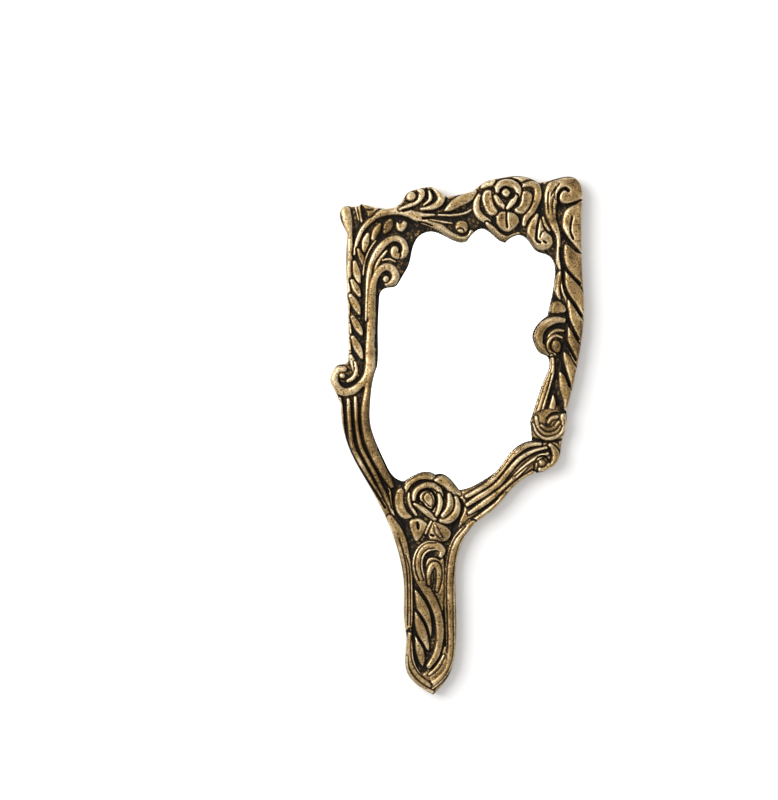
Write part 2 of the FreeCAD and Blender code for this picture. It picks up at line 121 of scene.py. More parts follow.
class HeightMap:
    # ornament heights over the casting in mm, and how dark its recesses are

    def __init__(self, low, high, pitch):
        self.pitch = pitch
        self.x = np.arange(low[0] - 2, high[0] + 2, pitch)
        self.y = np.arange(low[1] - 2, high[1] + 2, pitch)
        self.height = np.zeros((len(self.y), len(self.x)))
        self.base = np.zeros_like(self.height)
        self.dark = np.zeros_like(self.height)
        self.bare = np.ones_like(self.height)    # ground that no stroke has touched
        self.stain = np.zeros_like(self.height)  # browner places

    def window(self, line, reach):
        first = line[:, :2].min(axis=0) - reach
        last = line[:, :2].max(axis=0) + reach
        cols = slice(*np.searchsorted(self.x, (first[0], last[0])))
        rows = slice(*np.searchsorted(self.y, (first[1], last[1])))
        return rows, cols

    def nearest(self, line, reach):
        # distance outside the stroke's edge, and share of the half width from its middle
        rows, cols = self.window(line, reach)
        x, y = self.x[cols], self.y[rows]
        edge = np.full((len(y), len(x)), 99.0)
        share = np.full_like(edge, 9.0)
        for a, b in zip(line[:-1], line[1:]):
            (x0, x1), (y0, y1) = [(min(a[i], b[i]) - reach, max(a[i], b[i]) + reach) for i in (0, 1)]
            c = slice(*np.searchsorted(x, (x0, x1)))
            r = slice(*np.searchsorted(y, (y0, y1)))
            dx, dy = b[0] - a[0], b[1] - a[1]
            gx, gy = x[c][None, :] - a[0], y[r][:, None] - a[1]
            t = np.clip((gx * dx + gy * dy) / (dx * dx + dy * dy + 1e-9), 0, 1)
            away = np.hypot(gx - t * dx, gy - t * dy)
            half = np.maximum(a[2] + (b[2] - a[2]) * t, 0.05)
            better = away - half < edge[r, c]
            edge[r, c][better] = (away - half)[better]
            share[r, c][better] = (away / half)[better]
        return rows, cols, edge, share

    def inside(self, line, rows, cols):
        # even-odd test row by row
        x, y = self.x[cols], self.y[rows]
        mask = np.zeros((len(y), len(x)), bool)
        ends = np.roll(line, -1, axis=0)
        for j, level in enumerate(y):
            cross = (line[:, 1] <= level) != (ends[:, 1] <= level)
            a, b = line[cross], ends[cross]
            at = np.sort(a[:, 0] + (level - a[:, 1]) * (b[:, 0] - a[:, 0]) / (b[:, 1] - a[:, 1]))
            for start, stop in zip(at[::2], at[1::2]):
                mask[j, slice(*np.searchsorted(x, (start, stop)))] = True
        return mask

    def trench(self, rows, cols, edge, gap, depth, join=False):
        height, dark = self.height[rows, cols], self.dark[rows, cols]
        near = (edge >= 0) & (edge < gap)
        if join:
            near &= height < 0.5
        fall = 1 - ease(edge / gap)
        height[near] = np.minimum(height, height * (1 - fall) - depth * fall)[near]
        dark[near] = np.maximum(dark, 1 - (edge / gap) ** 4 * 0.6)[near]
        self.bare[rows, cols][near] *= 0.5

    def settle(self, rows, cols, on, crown):
        self.height[rows, cols][on] = crown[on]
        self.dark[rows, cols][on] = 0.0
        self.bare[rows, cols][on] = 0.0

    def rib(self, points, top=1.5, gap=casting["gap"], depth=casting["recess"], shoulder=casting["shoulder"],
            crease=0.0, join=False):
        # rounded raised stroke in its own recess
        # crease engraves its middle, join runs it into what is there
        line = smoothLine(points)
        line[:, 2] += casting["fuller"]
        rows, cols, edge, share = self.nearest(line, line[:, 2].max() + gap + 0.1)
        crown = top * (shoulder + (1 - shoulder) * np.sqrt(np.clip(1 - share ** 2.6, 0, 1)))
        if crease:
            crown = crown - crease * np.exp(-(share / 0.2) ** 2)
        self.trench(rows, cols, edge, gap, depth, join)
        self.settle(rows, cols, edge < 0, np.maximum(crown, self.height[rows, cols]) if join else crown)
        if crease:
            groove = crease * np.exp(-(share / 0.16) ** 2)
            self.dark[rows, cols] = np.where(edge < 0, np.clip(groove * 2.2, 0, 0.9), self.dark[rows, cols])

    def ribs(self, strokes, **how):
        for points in strokes:
            self.rib(points, **how)

    def eye(self, x, y, radius, top=1.8, gap=0.4):
        # round bead
        spot = placed([(x, y, radius)])
        rows, cols, edge, share = self.nearest(np.vstack([spot, spot + (1e-4, 0, 0)]), radius + gap + 0.1)
        self.trench(rows, cols, edge, gap, 0.9)
        shoulder = casting["shoulder"]
        self.settle(rows, cols, edge < 0, top * (shoulder + (1 - shoulder) * np.sqrt(np.clip(1 - share ** 2, 0, 1))))

    def groove(self, points, width=0.6, depth=1.0, dark=1.0):
        # engraved line, darkest in its middle
        line = smoothLine([(p[0], p[1], p[2] if len(p) > 2 else width) for p in points])
        rows, cols, edge, share = self.nearest(line, line[:, 2].max() + 0.3)
        cut = 1 - ease(share / 1.15)
        height, shade = self.height[rows, cols], self.dark[rows, cols]
        height[:] = np.minimum(height, height * (1 - cut) - depth * cut)
        self.bare[rows, cols] *= 1 - cut
        shade[:] = np.maximum(shade, dark * ease(cut * 1.7))

    def grooves(self, strokes, **how):
        for points in strokes:
            self.groove(points, **how)

    def patch(self, points, top=1.6, gap=casting["gap"], soft=1.6, shoulder=casting["shoulder"], hollow=0.0):
        # raised leaf or petal with a closed outline; hollow dishes its middle
        line = smoothLine(points, closed=True)
        line[:, 2] = 0.0
        ring = np.vstack([line, line[:1]])
        rows, cols, edge, _ = self.nearest(ring, soft + gap + 2.5)
        within = self.inside(line, rows, cols)
        deep = np.clip(edge + 0.05, 0, None)
        if gap:
            self.trench(rows, cols, np.where(within, -1.0, deep), gap, casting["recess"])
        reach = np.clip(deep / soft, 0, 1)
        crown = top * (shoulder + (1 - shoulder) * np.sqrt(np.clip(1 - (1 - reach) ** 2.4, 0, 1)))
        crown = crown - hollow * ease((deep - 0.5) / soft)
        self.settle(rows, cols, within, crown)

    def fill(self, points, top=0.5):
        # low mass that ribs and grooves are worked on
        self.patch(points, top=top, gap=0, soft=1.0)

    def fading(self, x, y, radius):
        # 1 at the place and 0 from its radius on
        cx, cy, _ = placed([(x, y)])[0]
        return 1 - ease(np.hypot(self.x[None, :] - cx, self.y[:, None] - cy) / radius)

    def swell(self, x, y, radius, lift):
        # broad dome that a rose stands on
        self.base += lift * self.fading(x, y, radius)

    def tarnish(self, x, y, radius, share):
        # browner place
        self.stain = np.maximum(self.stain, share * self.fading(x, y, radius))

    def sample(self, field, x, y):
        u = np.clip((x - self.x[0]) / self.pitch, 0, len(self.x) - 1.001)
        v = np.clip((y - self.y[0]) / self.pitch, 0, len(self.y) - 1.001)
        i, j = u.astype(int), v.astype(int)
        s, t = u - i, v - j
        return (field[j, i] * (1 - s) * (1 - t) + field[j, i + 1] * s * (1 - t)
                + field[j + 1, i] * (1 - s) * t + field[j + 1, i + 1] * s * t)


face = HeightMap(low, high, casting["pitch"])
rib, ribs, groove, grooves, patch = face.rib, face.ribs, face.groove, face.grooves, face.patch


def leftBar():
    rib([(-54, 109, 2.3), (-53, 104, 2.1), (-52.2, 99, 1.3), (-51.9, 92, 1.2), (-52, 85, 1.2), (-52.4, 78, 1.1),
         (-52.7, 72, 0.9), (-52.6, 66, 0.7), (-52.8, 58, 0.6), (-52.3, 48, 0.5), (-51.9, 40, 0.5)], top=1.4, gap=0.4)
    grooves([[(-51, 110), (-50.2, 105), (-49.2, 100), (-49.7, 96)], [(-49.6, 96), (-49.9, 88), (-50.3, 82)]], width=0.6)
    ribs([[(-49, 111, 0.6), (-47.5, 105, 0.5)], [(-47.6, 111.5, 0.6), (-46.2, 104, 0.5)]], top=1.1, gap=0.3)
    # twisted leaves between the rails
    for points in [[(-47.6, 74.8, 0.9), (-48.8, 79.3, 1.7), (-49.7, 84.2, 0.9)],
                   [(-47.3, 68.2, 0.8), (-49.1, 71.7, 1.7), (-51, 75.2, 0.9)],
                   [(-47.2, 59.6, 0.9), (-49.3, 63.7, 1.8), (-51.6, 67.9, 1.0)],
                   [(-46.4, 49.6, 0.9), (-48.4, 53.3, 1.7), (-50.7, 57.5, 1.0)],
                   [(-46.2, 38.2, 0.9), (-48.3, 43, 1.8), (-50.5, 47.7, 1.0)],
                   [(-48.7, 29.6, 0.9), (-49.7, 33.6, 1.6), (-51.5, 38.6, 0.9)]]:
        rib(points, top=1.6, gap=0.55, crease=0.08)
    ribs([[(-52.2, 54, 0.6), (-51.6, 50, 0.5)], [(-52.5, 46.5, 0.6), (-52, 42, 0.5)]], top=1.0, gap=0.3)
    # inner rail curling into the outer scroll
    groove([(-44.9, 63), (-44.8, 55), (-44.9, 48), (-44.8, 40), (-44.9, 34), (-45.3, 30.5), (-47, 27.5), (-50, 25),
            (-53, 24), (-56, 25.3), (-58, 28.3), (-57.4, 30.8)], width=0.9, depth=1.25)
    rib([(-41.6, 68, 1.7), (-41.7, 60, 2.0), (-41.8, 52, 2.0), (-42.2, 44, 2.0), (-42.4, 38, 2.0), (-42.6, 33, 2.0),
         (-43.8, 28.6, 1.9), (-46.6, 24.9, 1.8), (-50.6, 22, 1.8), (-55, 21.3, 1.9), (-58.4, 23.8, 1.9),
         (-59.6, 27.8, 1.7), (-57.9, 31.6, 1.6), (-55, 32.4, 1.4)], top=1.7, gap=0.45)
    face.eye(-55.7, 29.2, 1.5, top=1.8)
    rib([(-49.4, 35.6, 0.5), (-48.9, 31.5, 0.8), (-50.2, 28.4, 0.9), (-53, 26.6, 0.7)], top=1.2, gap=0.35)
    groove([(-57.3, 17.4), (-52, 18), (-48, 20.2), (-45.4, 23)], width=0.95, depth=1.2)


def archingVine():
    groove([(-49.2, 91), (-46.9, 96.5), (-43.4, 101.2), (-38.6, 104.8), (-33.7, 106.4), (-29.3, 106.6), (-24.5, 105.8),
            (-20.8, 103.6)], width=1.0, depth=1.2)
    rib([(-49.8, 88, 0.5), (-48.6, 94, 0.8), (-46.3, 99.6, 1.0), (-43, 103.6, 1.2), (-39, 106.8, 1.4),
         (-34, 108.8, 1.8), (-28.5, 109.3, 2.0), (-23.6, 108.2, 2.0), (-19.2, 105.8, 1.9), (-14, 103.8, 1.7),
         (-9, 101.6, 1.7), (-5, 98.9, 1.5), (-1.4, 96.5, 1.5), (2.6, 95.3, 1.3), (5.8, 96.4, 1.1), (7, 99, 0.9)],
        top=1.9)
    rib([(-23.6, 108, 1.7), (-20, 107.2, 1.7), (-16, 106.9, 1.2), (-11, 107.2, 0.4)], top=1.9, join=True)
    groove([(-19, 103.7), (-15.6, 103.2), (-12, 101.8)], width=0.45, depth=0.8)
    # leaves under the arch
    ribs([[(-45.3, 89.8, 0.9), (-44.4, 94.2, 1.7), (-43.3, 97.8, 0.8)],
          [(-40.8, 95.8, 0.9), (-39.1, 99.6, 1.7), (-37.4, 102.5, 0.8)],
          [(-34.9, 99.0, 1.0), (-33.5, 101.8, 2.1), (-32.4, 104.1, 1.2)]], top=1.5)
    patch([(-29.4, 103.9), (-27.4, 103.2), (-25.8, 104.5), (-23.9, 103), (-25, 100.3), (-27.4, 98.7), (-29.5, 100.6)],
          top=1.5)
    rib([(-48, 90.4, 0.6), (-46.4, 86.6, 1.3), (-44.9, 82.6, 0.7)], top=1.4)
    # curl on the vine's back
    rib([(-27.8, 109.8, 0.6), (-24, 111.2, 1.0), (-20.2, 112.6, 1.4), (-17.6, 115, 1.6), (-17.1, 117.8, 1.5),
         (-18.6, 119.3, 0.8)], top=1.8, gap=0.4)
    patch([(-24.6, 115.8), (-23.6, 117.9), (-21.6, 118.5), (-20, 117.2), (-20.2, 115.2), (-22, 113.9), (-24, 114.2)],
          top=1.8, gap=0.5)
    groove([(-20.9, 118.6), (-19.4, 117), (-19.6, 115), (-21.6, 113.6), (-24.2, 113.8)], width=0.55)
    patch([(-1, 101), (-0.2, 103.6), (2.2, 104.6), (4.8, 103.4), (5.4, 100.6), (3.6, 98.4), (0.6, 98.7)], top=1.6,
          soft=2.4)
    groove([(-0.4, 99.6), (1.2, 100.6), (3, 100.2), (3.6, 98.6)], width=0.35, depth=0.5, dark=0.7)
    # chip of leaf above the corner
    patch([(-46.2, 112.6), (-43, 112.4), (-40.4, 111.6), (-37.9, 110.4), (-39.4, 108.6), (-41.4, 106.4), (-43.4, 106.2),
           (-44.2, 109)], top=1.4, gap=0.4)
    groove([(-44, 109.6), (-42, 109.6), (-40.2, 110)], width=0.35, depth=0.4, dark=0.5)


def cornerScrolls():
    groove([(-46.2, 58), (-46, 68), (-45.6, 76), (-45, 82), (-43.4, 87.4), (-40.8, 92), (-37.6, 95.4), (-33, 98.2),
            (-28.6, 98.8), (-24.4, 96.8)], width=0.75)
    rib([(-44.2, 56, 0.4), (-43.9, 64, 0.6), (-43.5, 71, 0.9), (-42.9, 76.5, 1.2), (-41.9, 82, 1.4), (-40, 87, 1.5),
         (-37, 91.5, 1.6), (-33.6, 94.6, 1.5), (-29.7, 95.7, 1.5), (-26.4, 94.3, 1.5), (-25.1, 91, 1.5),
         (-25.9, 88, 1.5), (-28.4, 86.8, 1.3)], top=2.0)
    patch([(-32.4, 90.2), (-31.5, 91.9), (-29.7, 92.3), (-28.3, 90.9), (-28.4, 89.2), (-27.4, 88), (-28.2, 85.6),
           (-31, 86.2), (-32.4, 88.2)], top=1.9, gap=0.5)
    groove([(-33.4, 91.6), (-31.4, 93.5), (-28.6, 93.4), (-27.2, 91.4), (-27.6, 89.4)], width=0.6, depth=1.1)
    rib([(-45.5, 78, 0.1), (-44.8, 84, 0.2), (-42.6, 90, 0.2), (-39.4, 94.8, 0.1)], top=0.7, gap=0.35)
    rib([(-40.5, 74, 0.3), (-39.9, 80, 0.6), (-38.1, 84.6, 0.7), (-35.4, 88.2, 0.6), (-34, 89.8, 0.4)], top=1.1)
    rib([(-36, 85.2, 0.3), (-33, 85.8, 0.4), (-30, 84.6, 0.3)], top=0.9, gap=0.3)
    rib([(-41.6, 58, 2.1), (-41.6, 66, 2.0), (-41.1, 71, 1.8), (-40.2, 75.4, 1.5), (-38.2, 79.6, 1.6),
         (-34.8, 81.9, 1.7), (-31.4, 81, 1.8), (-29.8, 77.8, 1.8), (-30.9, 74.7, 1.6), (-34, 73.6, 1.1)], top=2.0,
        join=True)
    patch([(-36, 76.6), (-34.6, 77.9), (-33.2, 77.2), (-33, 75.4), (-34.2, 74.2), (-35.8, 74.8)], top=1.4, gap=0.45,
          soft=1.0)


def crest():
    groove([(-14.8, 120), (-15.2, 116), (-17.8, 112.6), (-21.6, 110.5), (-26.2, 109.2)], width=0.8, depth=1.2)
    rib([(-13.5, 118.6, 0.4), (-12.9, 116.4, 0.8), (-13.4, 114, 0.8), (-16, 112, 0.4)], top=1.5, gap=0.3)
    rib([(-11.6, 119.4, 0.9), (-8.6, 117.8, 1.7), (-7.6, 114.8, 1.8), (-9.6, 112, 1.6), (-13.6, 110.4, 1.1),
         (-17.4, 110, 0.6)], top=1.9, gap=0.4)
    groove([(-12.2, 119.2), (-10.9, 117.2), (-10.9, 115.2), (-12.4, 113.2), (-15.4, 111.5)], width=0.65)
    groove([(-5, 117.2), (-5.4, 113.6), (-7.6, 110.8), (-11.4, 109), (-16, 108.7)], width=0.8, depth=1.2)
    patch([(-6.4, 108.9), (-4.6, 112.2), (-1.2, 115.2), (4, 118), (9, 119.6), (9.6, 117.4), (6.6, 113.8), (1, 110.8),
           (-3.2, 109)], top=1.9, soft=2.4)
    groove([(-16.4, 105.5), (-10, 105.9), (-4, 105.5), (1, 105.5), (5.8, 106.6)], width=0.75)
    rib([(-9, 107.2, 0.3), (-2, 107.1, 0.5), (4, 108.1, 0.5), (8, 110.4, 0.3)], top=0.9, gap=0.3)
    groove([(-8.4, 108.3), (-2, 108.5), (3, 109.8), (7, 112.4), (10, 116.4)], width=0.7, depth=1.2)
    rib([(-13, 104.9, 0.3), (-7, 103.8, 0.5), (-2.4, 103.2, 0.3)], top=0.9, gap=0.3)


def crestRose():
    face.swell(24, 110, 17, 0.9)
    patch([(11.4, 119.8), (12.3, 122.4), (15, 123.8), (18.6, 124.6), (18, 121.4), (15, 120.6)], top=1.6, gap=0.5)
    patch([(26.5, 125.2), (30, 125.7), (34, 125.2), (38, 123.4), (34.5, 122.2), (31.3, 121.9)], top=1.6, gap=0.5)
    rib([(10.6, 116.6, 0.8), (9.4, 113.4, 1.3), (9.5, 109.6, 1.6), (11.4, 106.3, 1.6), (15.2, 104, 1.2)], top=1.6)
    rib([(14.6, 103, 0.8), (17.6, 100, 1.3), (20.8, 97.2, 1.3), (24.2, 95.7, 1.1), (27.6, 97, 1.0), (30, 98, 0.7)],
        top=1.3)
    rib([(31.4, 121.2, 0.9), (35.4, 122.2, 1.4), (38.6, 120.8, 1.6), (39.2, 117, 1.7), (38.2, 113, 1.6),
         (36.2, 109.2, 1.6), (33.4, 105.8, 1.3), (32.4, 102.4, 0.8)], top=1.7)
    patch([(18.4, 107), (18.7, 103.6), (20.6, 100.8), (22.8, 99.1), (25.4, 99), (28.2, 100.8), (29.8, 103.2),
           (29.9, 105.8), (27.4, 108), (23.9, 109), (20.6, 108.6)], top=2.3, soft=2.2)
    groove([(24, 109), (23.8, 105), (24.3, 101)], width=0.5, depth=0.6)
    patch([(12.6, 117.8), (14.6, 119.4), (17, 118.6), (17.1, 115), (18.2, 111.4), (19.9, 108.8), (18.3, 106.8),
           (15.4, 107), (13.2, 110.4), (12, 114.4)], top=2.3, hollow=0.3)
    patch([(31, 118.3), (33.5, 118.9), (36.2, 117.4), (36.4, 114), (35, 110.6), (32.2, 107.6), (29, 107.8),
           (27.5, 109.8), (30, 111.8), (31, 114.8)], top=2.3, hollow=0.3)
    groove([(18.4, 105.8), (18.9, 102), (21.3, 98.9), (25, 98), (28.5, 99.4), (30.7, 102.8), (31, 106)], width=0.6,
           depth=0.9)
    rib([(18.6, 117.4, 1.2), (19.9, 120.8, 1.7), (23.4, 122.6, 1.8), (27.4, 121.9, 1.8), (29.6, 119.4, 1.6),
         (29.5, 116.6, 1.1)], top=2.6)
    grooves([[(18.1, 121.6), (20.4, 124.1), (25, 125), (29, 124), (31.4, 121.6)],
             [(17.5, 120.8), (18.1, 118.2), (17.6, 115.6)]], width=0.55)
    ribs([[(18.7, 115.9, 1.1), (20.4, 113.1, 1.4), (23, 110.5, 0.9)],
          [(28.3, 115.9, 1.1), (26.6, 113.1, 1.4), (24.4, 110.3, 0.8)]], top=2.5)
    # black pit round the bud
    patch([(23.8, 121), (28, 116.7), (23.6, 114.2), (20.6, 118.6)], top=-0.7, gap=0.1, soft=0.6, shoulder=1)
    face.dark[face.height < -0.65] = 1.0
    patch([(23.7, 120.1), (25.9, 118.1), (25.1, 116.2), (23.6, 115.6), (21.9, 116.6), (21.5, 118.5)], top=2.3, gap=0.4,
          soft=1.2)


def topRight():
    groove([(41.5, 123.4), (41.3, 117), (40.9, 111), (41.5, 106), (43.5, 102), (47, 98.4), (49.4, 95.6), (50.4, 91)],
           width=0.75, depth=1.2)
    patch([(38.9, 108.2), (36, 105), (34, 101), (34, 96), (36.4, 92.4), (40, 90.2), (44, 90.4), (46.4, 93),
           (45.8, 96.8), (43.2, 98.9), (41.8, 101.5), (40.6, 105.5)], top=2.0, soft=2.4)
    groove([(40.4, 107.4), (39.1, 102.6), (38.5, 98), (38.6, 94.8), (40.2, 93.8)], width=0.7, depth=1.1)
    groove([(42.6, 99.8), (41, 98.6), (40.2, 96.4)], width=0.35, depth=0.5, dark=0.5)
    groove([(42, 94.4), (43.2, 93.6)], width=0.5, depth=0.5, dark=0.6)
    rib([(41.8, 106, 0.5), (42.8, 102.6, 0.7), (44.8, 99.8, 0.5)], top=0.8, gap=0.3)
    patch([(45.4, 103.4), (43, 106.5), (42.3, 112), (42.4, 118), (44.2, 122.4), (48, 124.2), (54, 125.4), (60, 124.4),
           (61.4, 120), (61.2, 114.8), (57, 113.2), (52.6, 112.6), (49.6, 112.4), (48.9, 108), (47, 103.4)], top=2.1,
          soft=2.6)
    groove([(53.9, 118.9), (52.6, 119.9), (50.6, 119.2), (49.2, 117), (49, 114.4), (50.3, 112.2), (52.6, 111.7),
            (56, 112.5), (60.4, 114)], width=0.95, depth=1.2)
    grooves([[(44.4, 118), (44, 113), (44.6, 108)], [(46.8, 116), (46.2, 112), (46.6, 108)],
             [(47.8, 120.6), (45.6, 116.6)], [(49.6, 122.4), (47.4, 118.6), (47.6, 114.6)]], width=0.3, depth=0.3,
            dark=0.6)
    rib([(45.4, 109, 1.9), (46, 105.4, 1.9), (47.4, 101.6, 1.6), (48.9, 97.6, 1.1), (49.3, 93, 0.8), (49, 88, 0.8),
         (49.2, 84, 0.8), (50, 80.5, 0.4)], top=1.5, gap=0.5, join=True)
    patch([(62, 113.6), (57, 112.2), (53, 110), (51.4, 107), (50.9, 103), (51.4, 99.2), (53.2, 95.2), (56.6, 91.6),
           (61.6, 88.4), (62, 100)], top=2.0, soft=3.0)
    groove([(55.8, 106), (55.1, 102.5), (55, 99), (56.3, 95.5)], width=0.55, depth=0.35, dark=0.5)
    groove([(48.8, 112), (48.6, 107.6), (49.2, 104), (50.8, 100), (53, 96.2), (56, 92.4), (59, 89)], width=0.9,
           depth=1.2)


def rightBar():
    rib([(51, 80, 0.3), (50.8, 74, 0.5), (51.5, 69.5, 0.5), (53, 66, 0.5), (54.2, 62, 0.3)], top=1.0, gap=0.5)
    # leaves laid over each other from the bottom up, each open to the outer edge
    for points in [[(49.4, 31), (52, 29.4), (54.6, 25), (56.6, 22), (56, 12), (52.2, 12.4), (51.4, 17), (49.6, 23)],
                   [(51.4, 40.4), (54, 39.6), (56.6, 36), (60, 33), (58.4, 22), (55.6, 22.6), (54, 26), (52.4, 31)],
                   [(53.2, 53), (55.4, 51.4), (57.6, 47.4), (61.4, 43), (60.4, 32), (57.8, 34), (55.4, 38.6),
                    (53.4, 44)],
                   [(53.6, 66), (56, 64), (59, 60), (62.6, 56), (62, 43), (59.4, 45), (56.4, 50.6), (54, 56)],
                   [(52.4, 80.8), (55, 79.6), (58, 75.4), (62, 71), (62.8, 56), (60.2, 58), (57, 63), (53.8, 67.8),
                    (51.8, 73)],
                   [(52, 92.6), (54.6, 92.2), (57.6, 89.4), (62, 86), (62.4, 70), (59.8, 72.6), (57.2, 76), (54.2, 80),
                    (52, 85.2)]]:
        patch(points, top=1.9, soft=3.0, gap=0.5)
    grooves([[(50.2, 91), (50.4, 86), (52, 82), (55.4, 77.8), (59.6, 73.6)],
             [(51.6, 80), (51.8, 73.6), (53.8, 68.4), (57, 63.8), (60.6, 57.8)],
             [(53.2, 61), (54.4, 55.4), (58.8, 46.6)], [(52.6, 50), (53.2, 45.4), (57.6, 36.8)],
             [(50.4, 40), (51, 36.4), (54.6, 24.2)]], width=0.85, depth=1.3)
    groove([(47.4, 24.5, 0.7), (49, 18, 1.2), (51.2, 12, 0.7)], depth=1.3)
    rib([(46.5, 19.4, 0.5), (46.3, 15.2, 1.5), (45.4, 11.6, 0.9)], top=1.5, gap=0.4)
    rib([(50, 79.4, 0.5), (49, 75.5, 1.2), (48.5, 71.4, 1.1), (49.6, 66.6, 0.7)], top=1.5, gap=0.4)
    groove([(46.8, 68.6), (50, 64.7), (53.2, 61.5)], width=0.7, depth=1.1)
    patch([(44.8, 60.2), (46, 64.4), (49.4, 65.4), (52.6, 62.6), (52.6, 60), (48.6, 59.4)], top=1.3, gap=0.4)
    groove([(44.8, 58.5), (48, 58.7), (51.6, 56.9)], width=0.8, depth=1.2)
    rib([(52.6, 55.9, 1.0), (48, 56.2, 1.6), (43.6, 54.5, 1.9), (40.4, 51, 2.0), (39.6, 46.6, 2.0), (41.4, 42.4, 1.8),
         (44.4, 40.4, 1.4)], top=1.9)
    rib([(51.6, 51, 0.5), (48.6, 51.2, 0.7), (45.8, 49.8, 0.6), (44.4, 47.6, 0.4)], top=1.0, gap=0.4)
    rib([(51, 47.6, 0.4), (48, 48.6, 0.6), (45.2, 47, 0.7), (44, 43.8, 0.7), (45.2, 40.8, 0.7), (47.6, 39.4, 0.5)],
        top=1.3, gap=0.4)
    patch([(45.9, 44.4), (47, 46.4), (49.4, 46), (50.6, 43.4), (49.6, 40.6), (47.4, 40.6), (46, 42.4)], top=1.2,
          soft=2.0, gap=0.35)
    groove([(52.4, 53.3), (48, 53.4), (44.5, 51.8), (42.6, 48.8), (42.3, 45)], width=0.85, depth=1.2)
    ribs([[(46, 38.8, 0.8), (47, 37.2, 0.8)], [(46.9, 35, 0.9), (46.6, 32.4, 1.1)]], top=1.3, gap=0.4)
    rib([(46.4, 37.4, 0.7), (45.6, 31, 1.5), (43.6, 25, 1.9), (41.6, 19, 2.2), (39.9, 13, 2.3), (39.4, 7, 2.0)],
        top=1.6)
    groove([(45.8, 30), (44, 23), (42, 17), (40.6, 12), (40.4, 8)], width=0.35, depth=0.5, dark=0.75)
    groove([(53.6, 60), (53.2, 54), (52.6, 47), (51.2, 42), (49.7, 37), (48.6, 30), (46.9, 23.6), (44.9, 17.4),
            (43.2, 11)], width=0.8, depth=1.2)
    face.fill([(36.6, 10), (43, 13), (50, 12), (53.6, 11), (53.4, 3), (50.6, -2), (44, -2.8), (37, -1.6), (35.6, 4)],
              top=0.4)


def bottomSwirl():
    groove([(53.6, 11.5), (49, 11.3), (46, 10.5), (44, 8.5)], width=0.8, depth=1.2)
    rib([(51.4, 9.6, 1.3), (51.5, 5, 1.6), (49.4, 1.4, 1.4), (46, -0.8, 1.2), (42, -0.6, 1.1), (39, 1.8, 1.0),
         (37.6, 5.4, 0.8)], top=1.7, gap=0.4)
    rib([(50, 4.6, 0.6), (48.6, 2.4, 0.9), (46, 1.2, 0.8), (43, 1, 0.9), (40.4, 2.9, 0.9), (38.9, 5.8, 0.9),
         (38.4, 9, 0.8)], top=1.5, gap=0.35)
    rib([(49.4, 6.6, 0.8), (47, 3.8, 0.9), (43.6, 3.2, 0.9), (41, 5, 0.7)], top=1.4, gap=0.35)
    rib([(48.4, 9.2, 0.9), (45.8, 8.4, 0.9), (44.4, 6.4, 0.8)], top=1.5, gap=0.4)
    groove([(37, -1.2), (42, -2.9), (46, -3.1), (50.6, -1.8)], width=0.85, depth=1.2)


def leftArm():
    ribs([[(-56.8, 18, 0.6), (-56.2, 12, 0.8), (-55.7, 5, 0.8), (-54.6, -3, 0.9), (-51.8, -10.6, 1.1),
           (-46.6, -19.6, 1.2), (-42.2, -25.6, 1.4), (-38.4, -31, 1.7), (-34.9, -36.4, 1.9), (-31.8, -42, 1.8),
           (-30, -47, 1.2)],
          [(-52.8, 17.6, 0.7), (-52.4, 10, 0.9), (-51.8, 3, 0.9), (-50.6, -5, 0.9), (-47.4, -11.6, 0.9),
           (-43.2, -18.8, 0.8), (-39.4, -25, 0.8), (-36.6, -29.6, 0.5)],
          [(-49.3, 18.6, 0.7), (-49, 10, 0.8), (-48.4, 3, 0.8), (-46.8, -5, 0.9), (-43.8, -11.4, 0.9),
           (-40.2, -18, 1.0), (-37.6, -23.4, 1.0), (-35, -28.6, 1.0), (-32.4, -34, 0.9), (-30.8, -38.4, 0.6)],
          [(-33.4, -25.6, 0.4), (-32.2, -28.6, 0.6), (-31.4, -32, 0.6), (-30.9, -35, 0.3)]], top=1.5, gap=0.5)
    rib([(-41.8, 42, 2.1), (-41.9, 36, 2.1), (-42, 30, 2.1), (-42.8, 22, 2.1), (-44.2, 14, 2.1), (-44.3, 7, 2.2),
         (-43.2, 0, 2.2), (-41.2, -6, 2.1), (-38.8, -11.4, 2.0), (-36.2, -16.6, 1.8), (-33.6, -21, 1.5),
         (-31.6, -24.4, 0.9)], top=1.8, gap=0.5, join=True)
    grooves([[(-54.6, 16), (-54.3, 9), (-53.8, 2), (-52.6, -5), (-49.4, -11.6), (-44.8, -19.4), (-40.8, -25.4),
              (-37.6, -30.4), (-34.8, -34.8)],
             [(-51, 17), (-50.7, 9), (-50.1, 2), (-48.7, -5), (-45.6, -11.6), (-41.7, -18.6), (-39, -23.8)],
             [(-47.6, 18), (-47.2, 9), (-46.4, 1), (-45, -5), (-41.7, -11.6), (-38.3, -17.6), (-35.7, -22.4),
              (-33.2, -27.2)]], width=0.7, depth=1.2)


